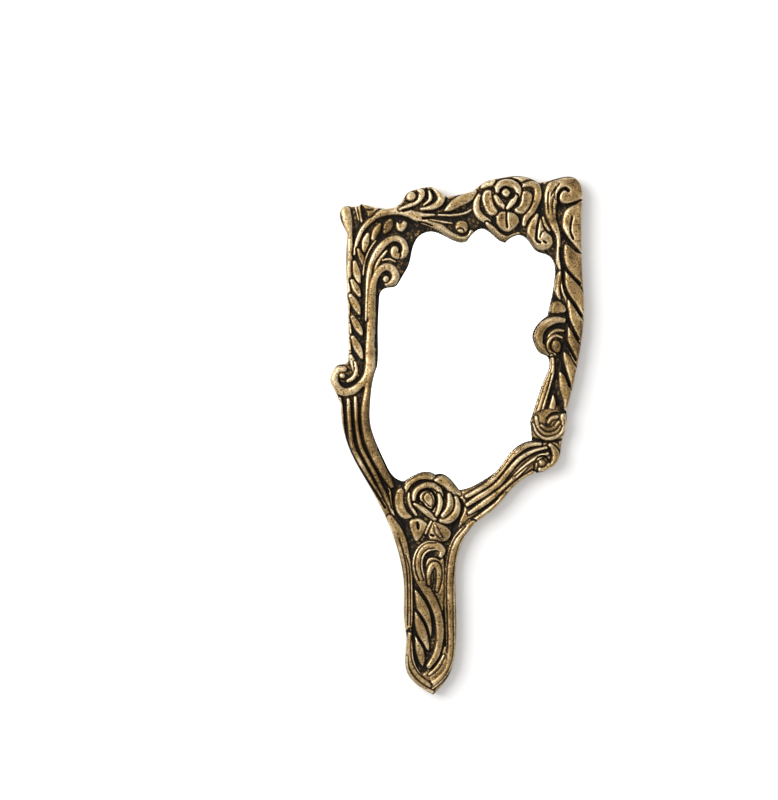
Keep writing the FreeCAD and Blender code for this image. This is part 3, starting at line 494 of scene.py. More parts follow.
def rightArm():
    face.fill([(1, -28), (10, -23.4), (20, -17), (26, -8), (32, -4.4), (41, -3.4), (48, -3.4), (50.6, -8), (46, -16.4),
               (38, -18.6), (28, -26), (17, -36.4), (6, -45), (1, -50), (1.6, -40), (3.4, -34)], top=0.35)
    rib([(4.6, -29.3, 0.8), (10, -26.7, 1.2), (15, -23.6, 1.3), (19, -19.8, 1.3), (23, -14.5, 1.4), (27, -9.5, 1.4),
         (31, -6.2, 1.3), (35, -4.3, 1.1), (40.5, -3.9, 0.7)], top=1.7)
    rib([(5, -33.4, 0.9), (10, -30, 1.2), (16, -26.4, 1.3), (20.5, -22.7, 1.3), (26, -16, 1.2), (31, -11, 1.2),
         (37, -7.6, 1.0), (43.5, -5.8, 0.7)], top=1.6)
    rib([(6, -37.4, 0.8), (12, -33.4, 1.3), (18, -29, 1.3), (22, -26, 1.2), (27, -21.3, 1.1), (33, -15, 1.1),
         (39, -10.6, 1.0), (44, -8.6, 0.7)], top=1.6)
    rib([(2.4, -45.4, 1.0), (7, -42.2, 1.5), (13, -38.2, 1.7), (19, -33.2, 1.7), (25, -27.3, 1.7), (31, -22.3, 1.6),
         (37, -18, 1.2)], top=1.7)
    grooves([[(8, -44.4), (14, -40.2), (20, -34.8), (26, -29), (32, -24)], [(12, -36), (18, -31.4), (22.6, -27.4)]],
            width=0.22, depth=0.25, dark=0.5)
    grooves([[(4.5, -31.4), (9, -28.5), (15, -25), (19, -21.7), (23.5, -16.4), (27, -11.8), (31, -8.5), (36, -6.3)],
             [(5, -35.5), (10, -32.2), (15, -29), (20, -25.4)], [(28, -15.6), (32, -11.6), (38, -8.2), (44, -6.6)],
             [(7, -40.4), (12, -36.6), (17, -32.8), (19.8, -30.2)], [(28, -19.6), (33, -15.5), (37.6, -12.4)]],
            width=0.4, depth=1.0)
    rib([(45.2, -4.4, 0.9), (47.7, -8, 1.6), (47.6, -12, 1.7), (44.6, -14.8, 1.6), (40.4, -16.2, 1.1)], top=1.7)
    groove([(45, -6), (45.8, -9.4), (45.1, -12.8)], width=0.5, depth=1.1)
    face.eye(41.3, -13.2, 1.9, top=1.6)
    groove([(37.4, -16.8), (38, -12.4), (40, -10.1), (43, -10), (44.4, -12)], width=0.55, depth=1.1)


def neckRose():
    face.swell(-14, -33, 16, 0.9)
    grooves([[(0, -30.2), (2.3, -32), (2.7, -36), (1, -40), (-1.8, -45), (-3.3, -50)],
             [(-31, -26), (-30.8, -33), (-28.9, -38.5), (-25.2, -43), (-24.5, -50), (-22.6, -55)]], width=1.0,
            depth=1.3)
    rib([(-25.2, -26.6, 0.9), (-23, -22.4, 1.5), (-19.2, -19.8, 1.7), (-15.4, -19.2, 1.7), (-11.8, -20.2, 1.3)],
        top=1.8)
    patch([(-11.4, -21.4), (-9, -19.6), (-5.4, -19.4), (-1.8, -22.8), (2.2, -27.8), (1, -29.4), (-3, -28),
           (-6.6, -24.6), (-9.6, -23.4)], top=1.9, gap=0.5, soft=2.2)
    patch([(-29.6, -27), (-27.4, -25), (-25.6, -26.4), (-26, -29.6), (-25.6, -33.4), (-23.8, -37), (-21.6, -39.4),
           (-25.6, -40.4), (-29, -37.4), (-30.4, -32)], top=1.8, soft=1.8, hollow=0.2)
    rib([(-23.2, -28, 0.6), (-23.2, -31, 0.9), (-22.2, -34.4, 0.9), (-19.8, -38.2, 0.6)], top=1.6, gap=0.5)
    rib([(-0.6, -30.2, 1.1), (0, -34, 1.6), (-1, -38, 1.8), (-4, -40.8, 1.7), (-7.6, -41, 1.1)], top=1.9)
    patch([(-22, -30), (-21.2, -26.5), (-18.4, -24), (-14.5, -22.8), (-10.6, -24), (-7.4, -27), (-6.6, -31),
           (-7.6, -36), (-10, -40.6), (-14, -39.6), (-18.6, -36.6), (-21.2, -33.6)], top=1.9, soft=3.2)
    groove([(-21.7, -26.4), (-19.6, -23.4), (-16, -22), (-13, -21.9), (-9.6, -23.6), (-6.8, -25.8), (-5.8, -28.6)],
           width=0.65, depth=1.1)
    rib([(-21, -31, 0.8), (-20.6, -27.8, 1.2), (-18.4, -25.4, 1.4), (-15, -24, 1.4), (-11.4, -24.2, 1.3),
         (-8.6, -26.4, 1.2), (-7.6, -29, 0.8)], top=2.6)
    groove([(-18.6, -31.8), (-18.8, -29), (-17.4, -26.8), (-14.6, -26), (-11.9, -27.2), (-10.5, -29.8), (-10.6, -33),
            (-12, -35.8)], width=0.85, depth=1.1)
    groove([(-18.4, -31.6), (-16.6, -32.6), (-14.8, -34.8), (-12.4, -36)], width=0.6, depth=1.0)
    patch([(-16.4, -29.4), (-14.6, -27.2), (-12.6, -28.4), (-11.7, -31.4), (-12.5, -34.2), (-14.2, -33.2),
           (-15.9, -31.6)], top=2.6, gap=0.3, soft=1.2)
    rib([(-20.6, -33, 0.7), (-17.4, -35, 1.1), (-14, -37.6, 1.3), (-10.8, -40.2, 0.9)], top=2.3)
    rib([(-8.8, -28.6, 0.8), (-8.2, -31.4, 1.1), (-8.6, -34.8, 1.1), (-10, -38.4, 0.7)], top=2.4, gap=0.5)
    rib([(-3.8, -28.6, 1.0), (-3.2, -32, 1.6), (-4, -35.6, 1.6), (-6.8, -38.6, 1.1)], top=2.2, gap=0.5)
    patch([(-23.2, -41.6), (-20.4, -40), (-17, -40.4), (-14, -43.4), (-16.2, -47.4), (-19.8, -51.4), (-22.2, -47)],
          top=1.8, gap=0.5)
    groove([(-19.2, -42, 0.5), (-18.9, -43.6, 0.9), (-18.8, -45, 0.6)], depth=1.0)
    patch([(-11.8, -41.6), (-8.4, -42.4), (-5.4, -43.8), (-2.8, -46.8), (-4.6, -50.6), (-9, -51.4), (-13.2, -50.4),
           (-13.6, -46.2)], top=1.8, gap=0.5, soft=2.2)
    rib([(-10.6, -43.4, 0.5), (-9.6, -46.6, 1.0), (-7.4, -49.6, 0.5)], top=2.3, gap=0.3, depth=-0.9)
    groove([(-12.9, -48), (-11.4, -48.4)], width=0.6, depth=0.8)
    rib([(-12.4, -41.4, 0.4), (-13.8, -44.2, 0.6), (-15.2, -47.4, 0.4)], top=1.4, gap=0.4)


def handle():
    # borders along both edges, with fine lines in them
    rib([(8, -42.4, 1.4), (2.6, -47.4, 2.0), (-0.6, -53, 2.3), (-2.4, -60, 2.3), (-3.2, -68, 2.3), (-3.3, -80, 2.3),
         (-3.1, -94, 2.3), (-3.2, -104, 2.2), (-4.4, -111, 2.0), (-7.8, -117, 1.8), (-12.4, -121.4, 1.6)], top=1.3,
        shoulder=0.5)
    groove([(4.2, -43.8), (-0.6, -49.4), (-3.2, -55), (-4.6, -62), (-5.2, -72), (-5, -84), (-4.6, -96), (-4.8, -104),
            (-6.4, -110), (-9.8, -115), (-14, -118.6)], width=0.45, depth=0.7, dark=0.9)
    groove([(7, -44.6), (2.6, -49.6), (0.2, -55), (-1.2, -62), (-1.9, -72), (-1.8, -88), (-1.7, -102), (-3, -110.6),
            (-6.6, -117.4), (-11.6, -122)], width=0.3, depth=0.3, dark=0.5)
    rib([(-32.6, -39.6, 1.4), (-29.4, -45.6, 2.3), (-27, -51, 2.4), (-25.4, -57.6, 2.1), (-24.1, -64, 1.9),
         (-23.3, -72, 1.9), (-23.3, -84, 1.8), (-23.6, -93.4, 1.5)], top=1.2, shoulder=0.5)
    grooves([[(-28, -50), (-25.9, -57), (-24.4, -64), (-23.9, -72), (-23.8, -84), (-24, -92)],
             [(-24.9, -58), (-23.2, -64), (-22.6, -72), (-22.4, -84), (-22.5, -92)]], width=0.35, depth=0.4, dark=0.6)
    groove([(-26, -94.6), (-24, -94.4), (-21.6, -93)], width=0.5)
    rib([(-22.9, -96, 0.8), (-23.2, -101, 1.4), (-22.9, -107, 1.6), (-21.4, -112.4, 1.6), (-18, -117.4, 1.5),
         (-13.6, -121.2, 1.1)], top=1.3)
    groove([(-22.2, -97), (-22.3, -104), (-21.6, -109.6), (-19, -114.6), (-15.4, -118)], width=0.3, depth=0.4,
           dark=0.6)
    rib([(-24.4, -107, 0.3), (-23.8, -113, 0.5), (-21, -117.8, 0.7), (-17, -121.4, 0.8), (-12, -124.2, 0.7)], top=1.2,
        gap=0.3)
    grooves([[(-21, -60), (-21, -70), (-20.9, -84), (-21, -96), (-20.6, -106), (-19, -112)],
             [(-6.6, -52), (-6.1, -58), (-6.6, -64), (-6.6, -74), (-6.4, -84), (-5.9, -92), (-5.8, -103),
              (-7.2, -107.4)]], width=0.7, depth=1.25)
    face.fill([(-15.4, -60), (-8, -58), (-6.2, -62), (-6.6, -84), (-8.6, -84), (-11.4, -76), (-14.8, -70)], top=0.5)
    face.fill([(-5.8, -102), (-8.4, -109), (-12.6, -113.6), (-16.8, -116), (-13, -119), (-7.4, -115), (-4.8, -109)],
              top=0.5)
    rib([(-6.4, -106.6, 0.5), (-9.4, -112, 0.8), (-13.4, -115.8, 0.6)], top=1.2, gap=0.4)
    # big scroll with leaves springing from it
    rib([(-7.9, -58.2, 1.0), (-7.1, -55.6, 1.5), (-9.4, -53.6, 1.9), (-13.2, -53.4, 2.3), (-17, -55.6, 2.4),
         (-19, -60, 2.4), (-19, -65, 2.4), (-17.5, -70, 2.3), (-14.9, -74.6, 2.0), (-12.1, -79.4, 1.9),
         (-9.9, -84.6, 1.8), (-8.6, -90, 1.8), (-8.2, -96, 1.7), (-8.9, -102, 1.5), (-10.6, -107, 1.5),
         (-13.6, -111.6, 1.1)], top=1.9, shoulder=0.45)
    groove([(-10, -51.8), (-14.4, -51.9), (-18.2, -54.8), (-20.2, -60), (-20, -65.4), (-18.2, -70.4)], width=0.3,
           depth=0.25, dark=0.4)
    groove([(-11, -54.6), (-14.2, -55), (-16.8, -57.6), (-17.6, -61), (-17.4, -65.4), (-16, -70)], width=0.35,
           depth=0.3, dark=0.5)
    groove([(-14.8, -67.4), (-15.6, -62.6), (-14.2, -59.2), (-11, -58.4), (-8.2, -59.8)], width=0.75, depth=1.1)
    rib([(-13.6, -72, 0.7), (-13.8, -67.4, 1.0), (-12.5, -63.6, 1.3), (-10.4, -62.4, 1.3), (-8.9, -64.8, 1.2),
         (-8.8, -69.6, 1.1), (-9.8, -75, 0.6)], top=1.3)
    groove([(-11.4, -66), (-11.3, -70), (-11.8, -74)], width=0.5, depth=1.0)
    for points in [[(-20.3, -74.2), (-17.6, -77.4), (-14.8, -81.6), (-12.9, -86.6), (-12.1, -92.6), (-12.8, -98),
                    (-14.6, -94.4), (-16.8, -89.6), (-19.4, -84.4), (-20.4, -79)],
                   [(-20.2, -84.6), (-17.4, -88.8), (-15, -93.6), (-13.7, -99), (-13.4, -104), (-15, -103.4),
                    (-17.2, -99.8), (-19.6, -95.2), (-20.6, -90)],
                   [(-20.3, -96), (-18.2, -99.8), (-16.2, -103.4), (-15.4, -107.4), (-16.6, -111.8), (-18.6, -109),
                    (-20.2, -103)]]:
        patch(points, top=1.8, soft=2.4, gap=0.5)
    grooves([[(-20.6, -73.4), (-17.4, -76.4), (-14.4, -80.8), (-12.5, -85.8), (-11.6, -91)],
             [(-20.4, -84), (-17.2, -88), (-14.6, -93), (-13.2, -98.6)],
             [(-20.6, -95.4), (-18, -99.2), (-15.9, -102.8), (-15, -107)]], width=0.75, depth=1.2)


def tarnishing():
    for x, y, radius, share in [(-50, 0, 30, 0.55), (-38, -24, 26, 0.6), (-46, 88, 7, 0.45), (-14, -84, 56, 0.3),
                                (56, 74, 20, 0.32), (56, 45, 22, 0.4), (54, 22, 16, 0.38), (44, 108, 9, 0.4),
                                (46, 44, 9, 0.35), (40, 50, 8, 0.3), (-41, 60, 18, 0.25), (-16, 98, 9, 0.5),
                                (-44, 108, 7, 0.5), (-36, 101, 10, 0.55), (45, 6, 12, 0.3), (28, -22, 30, 0.15),
                                (0, 105, 10, 0.25), (36, 119, 7, 0.3), (-12, -68, 9, 0.35), (-20, -24, 14, 0.25),
                                (52, 92, 8, 0.2), (49, 62, 6, 0.4), (-27, -52, 12, 0.3), (0, -60, 14, 0.25),
                                (46, -10, 12, 0.25)]:
        face.tarnish(x, y, radius, share)


for part in (leftBar, archingVine, cornerScrolls, crest, topRight, crestRose, rightBar, bottomSwirl, leftArm, rightArm,
             neckRose, handle, tarnishing):
    part()
face.height = soften(face.height, 0.9)
face.dark = soften(face.dark, 0.7)
print("ornament drawn")


def newPiece(name, source):
    # a linked object of a bmesh or of bare points
    mesh = bpy.data.meshes.new(name)
    if isinstance(source, list):
        mesh.from_pydata(source, [], [])
    else:
        source.to_mesh(mesh)
        source.free()
    piece = bpy.data.objects.new(name, mesh)
    bpy.context.scene.collection.objects.link(piece)
    return piece


def openEdges(bm):
    return [e for e in bm.edges if len(e.link_faces) == 1]


def cutCasting():
    # plain lower part of the casting, open at cutHeight
    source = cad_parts[casting["node"]]
    bm = bmesh.new()
    bm.from_mesh(source.data)
    bm.verts.layers.float.new("finish")
    bmesh.ops.remove_doubles(bm, verts=bm.verts, dist=1e-6)
    bmesh.ops.bisect_plane(bm, geom=bm.verts[:] + bm.edges[:] + bm.faces[:], plane_no=(0, 0, 1), clear_outer=True,
                           plane_co=(0, 0, casting["cutHeight"] / 1000), dist=1e-7)
    # welded in the mesh's own order, so that every run gives the same rim
    rim = {v for e in openEdges(bm) for v in e.verts}
    bmesh.ops.remove_doubles(bm, verts=[v for v in bm.verts if v in rim], dist=casting["weld"] / 1000)
    for edge in openEdges(bm):
        cuts = int(edge.calc_length() * 1000 / casting["spacing"])
        if cuts:
            bmesh.ops.subdivide_edges(bm, edges=[edge], cuts=cuts)
    return bm


def rimLoops(bm):
    # open edges as ordered loops, the outer one first
    used, loops = set(), []
    for first in openEdges(bm):
        if first in used:
            continue
        edge, vert, loop = first, first.verts[0], []
        while edge not in used:
            used.add(edge)
            loop.append(vert)
            vert = edge.other_vert(vert)
            edge = next((e for e in vert.link_edges if len(e.link_faces) == 1 and e not in used), edge)
        loops.append(loop)
    return sorted(loops, key=lambda loop: -max(v.co.x for v in loop))


def loopDistance(loops, reach=3.2):
    # inside mask of the casting, and distance from each loop on the height map
    full = (slice(0, len(face.y)), slice(0, len(face.x)))
    mask = np.zeros_like(face.height, bool)
    apart = []
    for loop in loops:
        line = np.array([(v.co.x * 1000, v.co.y * 1000, 0.0) for v in loop])
        mask ^= face.inside(line, *full)
        rows, cols, edge, _ = face.nearest(np.vstack([line, line[:1]]), reach)
        whole = np.full_like(face.height, reach)
        whole[rows, cols] = np.minimum(edge + 0.05, reach)
        apart.append(whole)
    return mask, apart


# how far the antiquing is rubbed off, with painted shade along the window edge: 0 is a black recess, 1 a bright crown
rubbingAndWindowShade = {
    "flat": 0.46,
    "wall": 0.56,            # plain walls and back
    "hollow": 0.5,           # lost in broad hollows
    "nook": 0.9,             # and in narrow ones
    "cloud": 0.06,
    "recess": 1.15,          # how soon a recess turns black
    "ground": 0.88,          # share lost on ground that no stroke touches
    "fleck": 0.3,            # specks of gold on that ground
    "paintedWindowShade": 0.55,      # painted shade: share darkened along the window edge
    "paintedWindowShadeReach": 1.3,
}


def faceHeights(apart):
    # final height over the rest plane, and how rubbed the metal is, with painted shade along the window edge
    dice = np.random.default_rng(casting["seed"])
    skin = soften(dice.standard_normal(face.height.shape), 2.2)
    swirl = soften(dice.standard_normal(face.height.shape), 7.0)
    skin = skin / skin.std() * 0.6 + swirl / swirl.std() * 0.8
    inward = face.bare * ease((apart[0] - 0.5) / 1.0)
    relief = face.height - casting["sunk"] * inward
    height = casting["ground"] + relief + face.base + casting["grain"] * skin * (1 + inward)
    for distance, roll in zip(apart, (casting["outerRoll"], casting["windowRoll"])):
        drop = np.sqrt(np.clip(1 - (1 - np.clip(distance / roll, 0, 1)) ** 2, 0, 1))
        height = casting["cutHeight"] + (height - casting["cutHeight"]) * drop
    height = np.clip(height, casting["lowest"], casting["highest"])
    relief = relief + 0.25 * skin * casting["grain"]
    hollow = soften(relief, 4.0) - relief
    nook = soften(relief, 1.6) - relief
    fleck = np.clip(soften(dice.standard_normal(face.height.shape), 1.6) * 6 - 0.9, 0, 1)
    rubbed = (rubbingAndWindowShade["flat"] - rubbingAndWindowShade["hollow"] * hollow - rubbingAndWindowShade["nook"] * nook
              + rubbingAndWindowShade["cloud"] * swirl / swirl.std()) * (1 - face.stain)
    rubbed = rubbed * (1 - np.clip(face.dark * rubbingAndWindowShade["recess"], 0, 1)) * (1 - rubbingAndWindowShade["ground"] * inward)
    # painted shade: the metal is darkened along the window edge in place of the shade on its rolled flank
    rubbed = rubbed * (1 - rubbingAndWindowShade["paintedWindowShade"] * (1 - ease(apart[1] / rubbingAndWindowShade["paintedWindowShadeReach"])))
    return height, np.clip(rubbed + rubbingAndWindowShade["fleck"] * fleck * inward, 0, 1)


def ringTriangles(tris, edges, origin, xy, mask):
    # the triangles between the loops, found by spreading from one that is well inside
    outOf = {source: i for i, sources in enumerate(origin) for source in sources}
    walls = {frozenset((outOf[a], outOf[b])) for a, b in edges}
    beside = {}
    for k, tri in enumerate(tris):
        for i in range(3):
            beside.setdefault(frozenset((tri[i - 1], tri[i])), []).append(k)
    deep = soften(mask.astype(float), 5.0)
    centres = xy[np.array(tris)].mean(axis=1)
    first = int(np.argmax(face.sample(deep, centres[:, 0], centres[:, 1])))
    found, queue = {first}, [first]
    while queue:
        tri = tris[queue.pop()]
        for i in range(3):
            side = frozenset((tri[i - 1], tri[i]))
            if side in walls:
                continue
            for k in beside[side]:
                if k not in found:
                    found.add(k)
                    queue.append(k)
    return [tris[k] for k in sorted(found)]


def buildCasting():
    bm = cutCasting()
    loops = rimLoops(bm)
    mask, apart = loopDistance(loops)
    height, rubbed = faceHeights(apart)
    rimVerts = [v for loop in loops for v in loop]
    spacing = casting["spacing"]
    gx, gy = np.meshgrid(np.arange(face.x[0], face.x[-1], spacing), np.arange(face.y[0], face.y[-1], spacing))
    gx, gy = gx.ravel(), gy.ravel()
    clear = np.minimum(face.sample(apart[0], gx, gy), face.sample(apart[1], gx, gy)) > 0.55 * spacing
    kept = clear & (face.sample(mask.astype(float), gx, gy) > 0.99)
    gx, gy = gx[kept], gy[kept]
    flat = [Vector((v.co.x * 1000, v.co.y * 1000)) for v in rimVerts]
    edges, start = [], 0
    for loop in loops:
        edges += [(start + i, start + (i + 1) % len(loop)) for i in range(len(loop))]
        start += len(loop)
    flat += [Vector(p) for p in zip(gx.tolist(), gy.tolist())]
    points, _, tris, origin, _, _ = geometry.delaunay_2d_cdt(flat, edges, [], 0, 1e-7)
    print("face points", len(points), "of", len(flat), "triangles", len(tris))
    xy = np.array([tuple(p) for p in points])
    z = face.sample(height, xy[:, 0], xy[:, 1])
    layer = bm.verts.layers.float["finish"]
    verts = []
    for i, sources in enumerate(origin):
        rim = [s for s in sources if s < len(rimVerts)]
        if rim:
            verts.append(rimVerts[rim[0]])
        else:
            verts.append(bm.verts.new((xy[i, 0] / 1000, xy[i, 1] / 1000, z[i] / 1000)))
    for vert in bm.verts:
        vert[layer] = rubbingAndWindowShade["wall"]
    # rubbing, with the painted shade along the window edge, onto each point of the face
    for vert, value in zip(verts, face.sample(rubbed, xy[:, 0], xy[:, 1])):
        vert[layer] = float(value)
    for tri in ringTriangles(tris, edges, origin, xy, mask):
        corners = [verts[i] for i in tri]
        if len(set(corners)) == 3 and not bm.faces.get(corners):
            bm.faces.new(corners).smooth = True
    print("casting open edges", sum(len(e.link_faces) != 2 for e in bm.edges))
    bmesh.ops.recalc_face_normals(bm, faces=bm.faces[:])
    bmesh.ops.triangulate(bm, faces=[f for f in bm.faces if len(f.verts) > 3])
    return newPiece("cast_frame", bm)


castFrame = buildCasting()
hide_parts(casting["node"])
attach(castFrame, "root")
print("casting", len(castFrame.data.vertices), "points", len(castFrame.data.polygons), "faces")


class Wire:
    # a socket of a node tree that adds its own Math nodes

    def __init__(self, maker, socket):
        self.maker, self.socket = maker, socket

    def _math(self, operation, first, second=None):
        inputs = {0: first} if second is None else {0: first, 1: second}
        return self.maker.add("ShaderNodeMath", {"operation": operation}, inputs)

    def __add__(self, other):
        return self._math("ADD", self, other)

    __radd__ = __add__

    def __sub__(self, other):
        return self._math("SUBTRACT", self, other)

    def __rsub__(self, other):
        return self._math("SUBTRACT", other, self)

    def __mul__(self, other):
        return self._math("MULTIPLY", self, other)

    __rmul__ = __mul__


class Finish:
    # one material and the nodes that paint it

    def __init__(self, name):
        self.material = bpy.data.materials.new(name)
        self.material.use_nodes = True
        self.tree = self.material.node_tree
        self.shader = self.tree.nodes["Principled BSDF"]

    def add(self, kind, settings=None, inputs=None, output=0):
        # a node with its settings made first, then its sockets
        node = self.tree.nodes.new(kind)
        for name, value in (settings or {}).items():
            if name == "stops":
                while len(node.color_ramp.elements) < len(value):
                    node.color_ramp.elements.new(0.5)
                for element, (position, colour) in zip(node.color_ramp.elements, value):
                    element.position = position
                    element.color = (*colour, 1.0)
            else:
                setattr(node, name, value)
        for key, value in (inputs or {}).items():
            if isinstance(value, Wire):
                self.tree.links.new(value.socket, node.inputs[key])
            else:
                node.inputs[key].default_value = value
        return Wire(self, node.outputs[output])

    def objectPlace(self):
        return self.add("ShaderNodeTexCoord", output="Object")

    def noise(self, where, scale, detail, rough):
        return self.add("ShaderNodeTexNoise", {},
                        {"Vector": where, "Scale": scale, "Detail": detail, "Roughness": rough})

    def ramp(self, value, stops):
        return self.add("ShaderNodeValToRGB", {"stops": stops}, {0: value})

    def step(self, value, start, stop, low=0.0, high=1.0):
        return self.add("ShaderNodeMapRange", {"interpolation_type": "SMOOTHSTEP"},
                        {"Value": value, "From Min": start, "From Max": stop, "To Min": low, "To Max": high})

    def mix(self, share, first, second):
        # of two plain colours, or of a colour's link and a plain one
        first, second = [c if isinstance(c, Wire) else (*c, 1.0) for c in (first, second)]
        return self.add("ShaderNodeMix", {"data_type": "RGBA"}, {0: share, 6: first, 7: second}, 2)

    def bump(self, height, strength, distance):
        return self.add("ShaderNodeBump", {}, {"Height": height, "Strength": strength, "Distance": distance})

    def set(self, **sockets):
        for name, value in sockets.items():
            socket = self.shader.inputs[name.replace("_", " ")]
            if isinstance(value, Wire):
                self.tree.links.new(value.socket, socket)
            else:
                socket.default_value = value
        return self.material


def dress(piece, material):
    piece.data.materials.clear()
    piece.data.materials.append(material)


antiqueGold = {
    "recess": (0.0045, 0.0028, 0.0012),
    "brown": (0.15, 0.092, 0.038),
    "gold": (0.362, 0.238, 0.098),
    "rubbed": (0.84, 0.70, 0.47),
    "stops": (0.05, 0.24, 0.5, 0.86),
    "stainScale": 130.0,
    "stain": 0.5,
    "gritScale": 620.0,
    "grit": 0.46,
    "pitScale": 1300.0,
    "pit": 0.48,
    "dullness": 0.66,        # roughness of the recesses
    "shine": 0.2,            # taken off it where the metal is clean
    "bump": (0.35, 0.00012),
}


def goldFinish():
    look = antiqueGold
    make = Finish("antique_gold")
    where = make.objectPlace()
    # the finish attribute holds the rubbing and the painted shade along the window edge
    wornAndWindowShade = make.add("ShaderNodeAttribute", {"attribute_name": "finish"}, output="Fac")
    speck = make.noise(where, look["pitScale"], 2.0, 0.6)
    stain = make.noise(where, look["stainScale"], 4.0, 0.6)
    grit = make.noise(where, look["gritScale"], 3.0, 0.7)
    pit = make.step(speck, 0.55, 0.66)
    tone = wornAndWindowShade + (stain - 0.5) * look["stain"] + (grit - 0.5) * look["grit"] - pit * look["pit"]
    colour = make.ramp(tone, list(zip(look["stops"], [look[c] for c in ("recess", "brown", "gold", "rubbed")])))
    clean = make.step(tone, 0.08, 0.34)
    return make.set(Base_Color=colour, Metallic=make.step(tone, 0.05, 0.3, 0.2, 1.0), Specular_IOR_Level=0.2,
                    Roughness=look["dullness"] - clean * look["shine"] + (grit - 0.5) * 0.2,
                    Normal=make.bump(grit * 0.6 + speck * 0.4 - pit * 0.5, *look["bump"]))


dress(castFrame, goldFinish())


glass = {
    "lift": 0.03,            # mm between the pane and its silvering
    "tint": (0.985, 1.0, 0.995, 1.0),
    "silver": (0.97, 0.975, 0.975),
    "aged": (0.955, 0.955, 0.95),
}


def groundPane():
    # clear pane, its lower face just off the silver
    bm = bmesh.new()
    bm.from_mesh(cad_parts["mirror_glass"].data)
    bmesh.ops.remove_doubles(bm, verts=bm.verts, dist=1e-6)
    bottom = min(v.co.z for v in bm.verts)
    for vert in bm.verts:
        if vert.co.z < bottom + 1e-5:
            vert.co.z += glass["lift"] / 1000
    piece = newPiece("ground_pane", bm)
    dress(piece, Finish("clear_pane").set(Base_Color=glass["tint"], Roughness=0.0, IOR=1.5, Transmission_Weight=1.0))
    return piece


def silverFinish():
    film = Finish("silvering")
    cloud = film.noise(film.objectPlace(), 14.0, 2.0, 0.5)
    return film.set(Metallic=1.0, Roughness=film.step(cloud, 0.3, 0.8, 0.004, 0.012),
                    Base_Color=film.mix(film.step(cloud, 0.55, 0.8), glass["silver"], glass["aged"]))


pane = groundPane()
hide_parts("mirror_glass")
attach(pane, "root")
dress(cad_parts["mirror_silvering"], silverFinish())


# what lies behind the glass: the grain of each sheet, dark to light
sheets = {
    "backing_card": {"grain": (900.0, 5.0, 0.7), "stops": [(0.3, (0.24, 0.17, 0.10)), (0.7, (0.40, 0.31, 0.20))],
                     "roughness": 0.9, "bump": (0.3, 0.0001)},
    "foam_sheet": {"cells": 1400.0, "stops": [(0.1, (0.02, 0.02, 0.02)), (0.6, (0.06, 0.06, 0.062))],
                   "roughness": 0.95, "bump": (0.6, 0.0002)},
    "glass_gasket": {"grain": (700.0, 3.0, 0.6), "stops": [(0.3, (0.012, 0.012, 0.012)), (0.7, (0.03, 0.03, 0.03))],
                     "roughness": 0.8, "bump": (0.2, 0.00005)},
}


def sheetFinish(node):
    look = sheets[node]
    make = Finish(node)
    where = make.objectPlace()
    if "cells" in look:
        grain = make.add("ShaderNodeTexVoronoi", {}, {"Vector": where, "Scale": look["cells"]})
    else:
        grain = make.noise(where, *look["grain"])
    return make.set(Base_Color=make.ramp(grain, look["stops"]), Roughness=look["roughness"],
                    Normal=make.bump(grain, *look["bump"]))


for node in sheets:
    dress(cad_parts[node], sheetFinish(node))


plates = {
    "base": (0.50, 0.36, 0.17),
    "light": (0.66, 0.50, 0.26),
    "tarnish": (0.21, 0.13, 0.055),
    "brushScale": 260.0,
    "brushStretch": (14.0, 0.5, 1.0),    # fine across the handle, long along it
    "cloudScale": 38.0,
    "speckScale": 950.0,
}


def plateFinish(node):
    # satin brushed sheet with tarnish in clouds
    make = Finish("satin_" + node)
    where = make.objectPlace()
    streaked = make.add("ShaderNodeMapping", {}, {"Vector": where, "Scale": plates["brushStretch"]})
    brush = make.noise(streaked, plates["brushScale"], 3.0, 0.6)
    cloud = make.noise(where, plates["cloudScale"], 5.0, 0.62)
    speck = make.noise(where, plates["speckScale"], 2.0, 0.6)
    tarnish = make.step(cloud + (speck - 0.5) * 0.5, 0.5, 0.74)
    metal = make.mix(brush, plates["base"], plates["light"])
    return make.set(Base_Color=make.mix(tarnish * 0.75, metal, plates["tarnish"]), Metallic=1.0,
                    Roughness=0.3 + brush * 0.14 + tarnish * 0.22, Normal=make.bump(brush, 0.12, 0.00004))


for node in ("back_plate", "handle_plate"):
    dress(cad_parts[node], plateFinish(node))
print("metal, glass and sheets finished")


# screws: one countersunk head with a slot and its shank, put at each of the casting's screw places
screws = {
    "headRadius": 1.9,
    "headHeight": 1.0,
    "topRadius": 1.02,
    "shankRadius": 1.0,
    "shankStart": 0.6,       # inside the head
    "shankLength": 4.4,
    "slotWidth": 0.5,
    "slotDepth": 0.45,
    "turnSeed": 4,
    "apart": 4.5,            # no two screws are nearer than this
    "dark": (0.55, 0.41, 0.20),
    "light": (0.74, 0.58, 0.32),
    "dull": (0.26, 0.17, 0.08),
    "grainScale": 1800.0,
    "cloudScale": 160.0,
}
screwSizes = ("headRadius", "headHeight", "topRadius", "shankRadius", "shankStart", "shankLength", "slotWidth",
              "slotDepth")


def screwPlaces():
    # middle of each screw in its CAD node, on the plane of the heads
    groups = []
    for point in [v.co.copy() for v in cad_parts["plate_screws"].data.vertices]:
        group = next((g for g in groups if (g[0].xy - point.xy).length * 1000 < screws["apart"]), None)
        if group is None:
            groups.append([point])
        else:
            group.append(point)
    return [(*[(min(p[i] for p in group) + max(p[i] for p in group)) / 2 for i in (0, 1)], min(p.z for p in group))
            for group in groups]


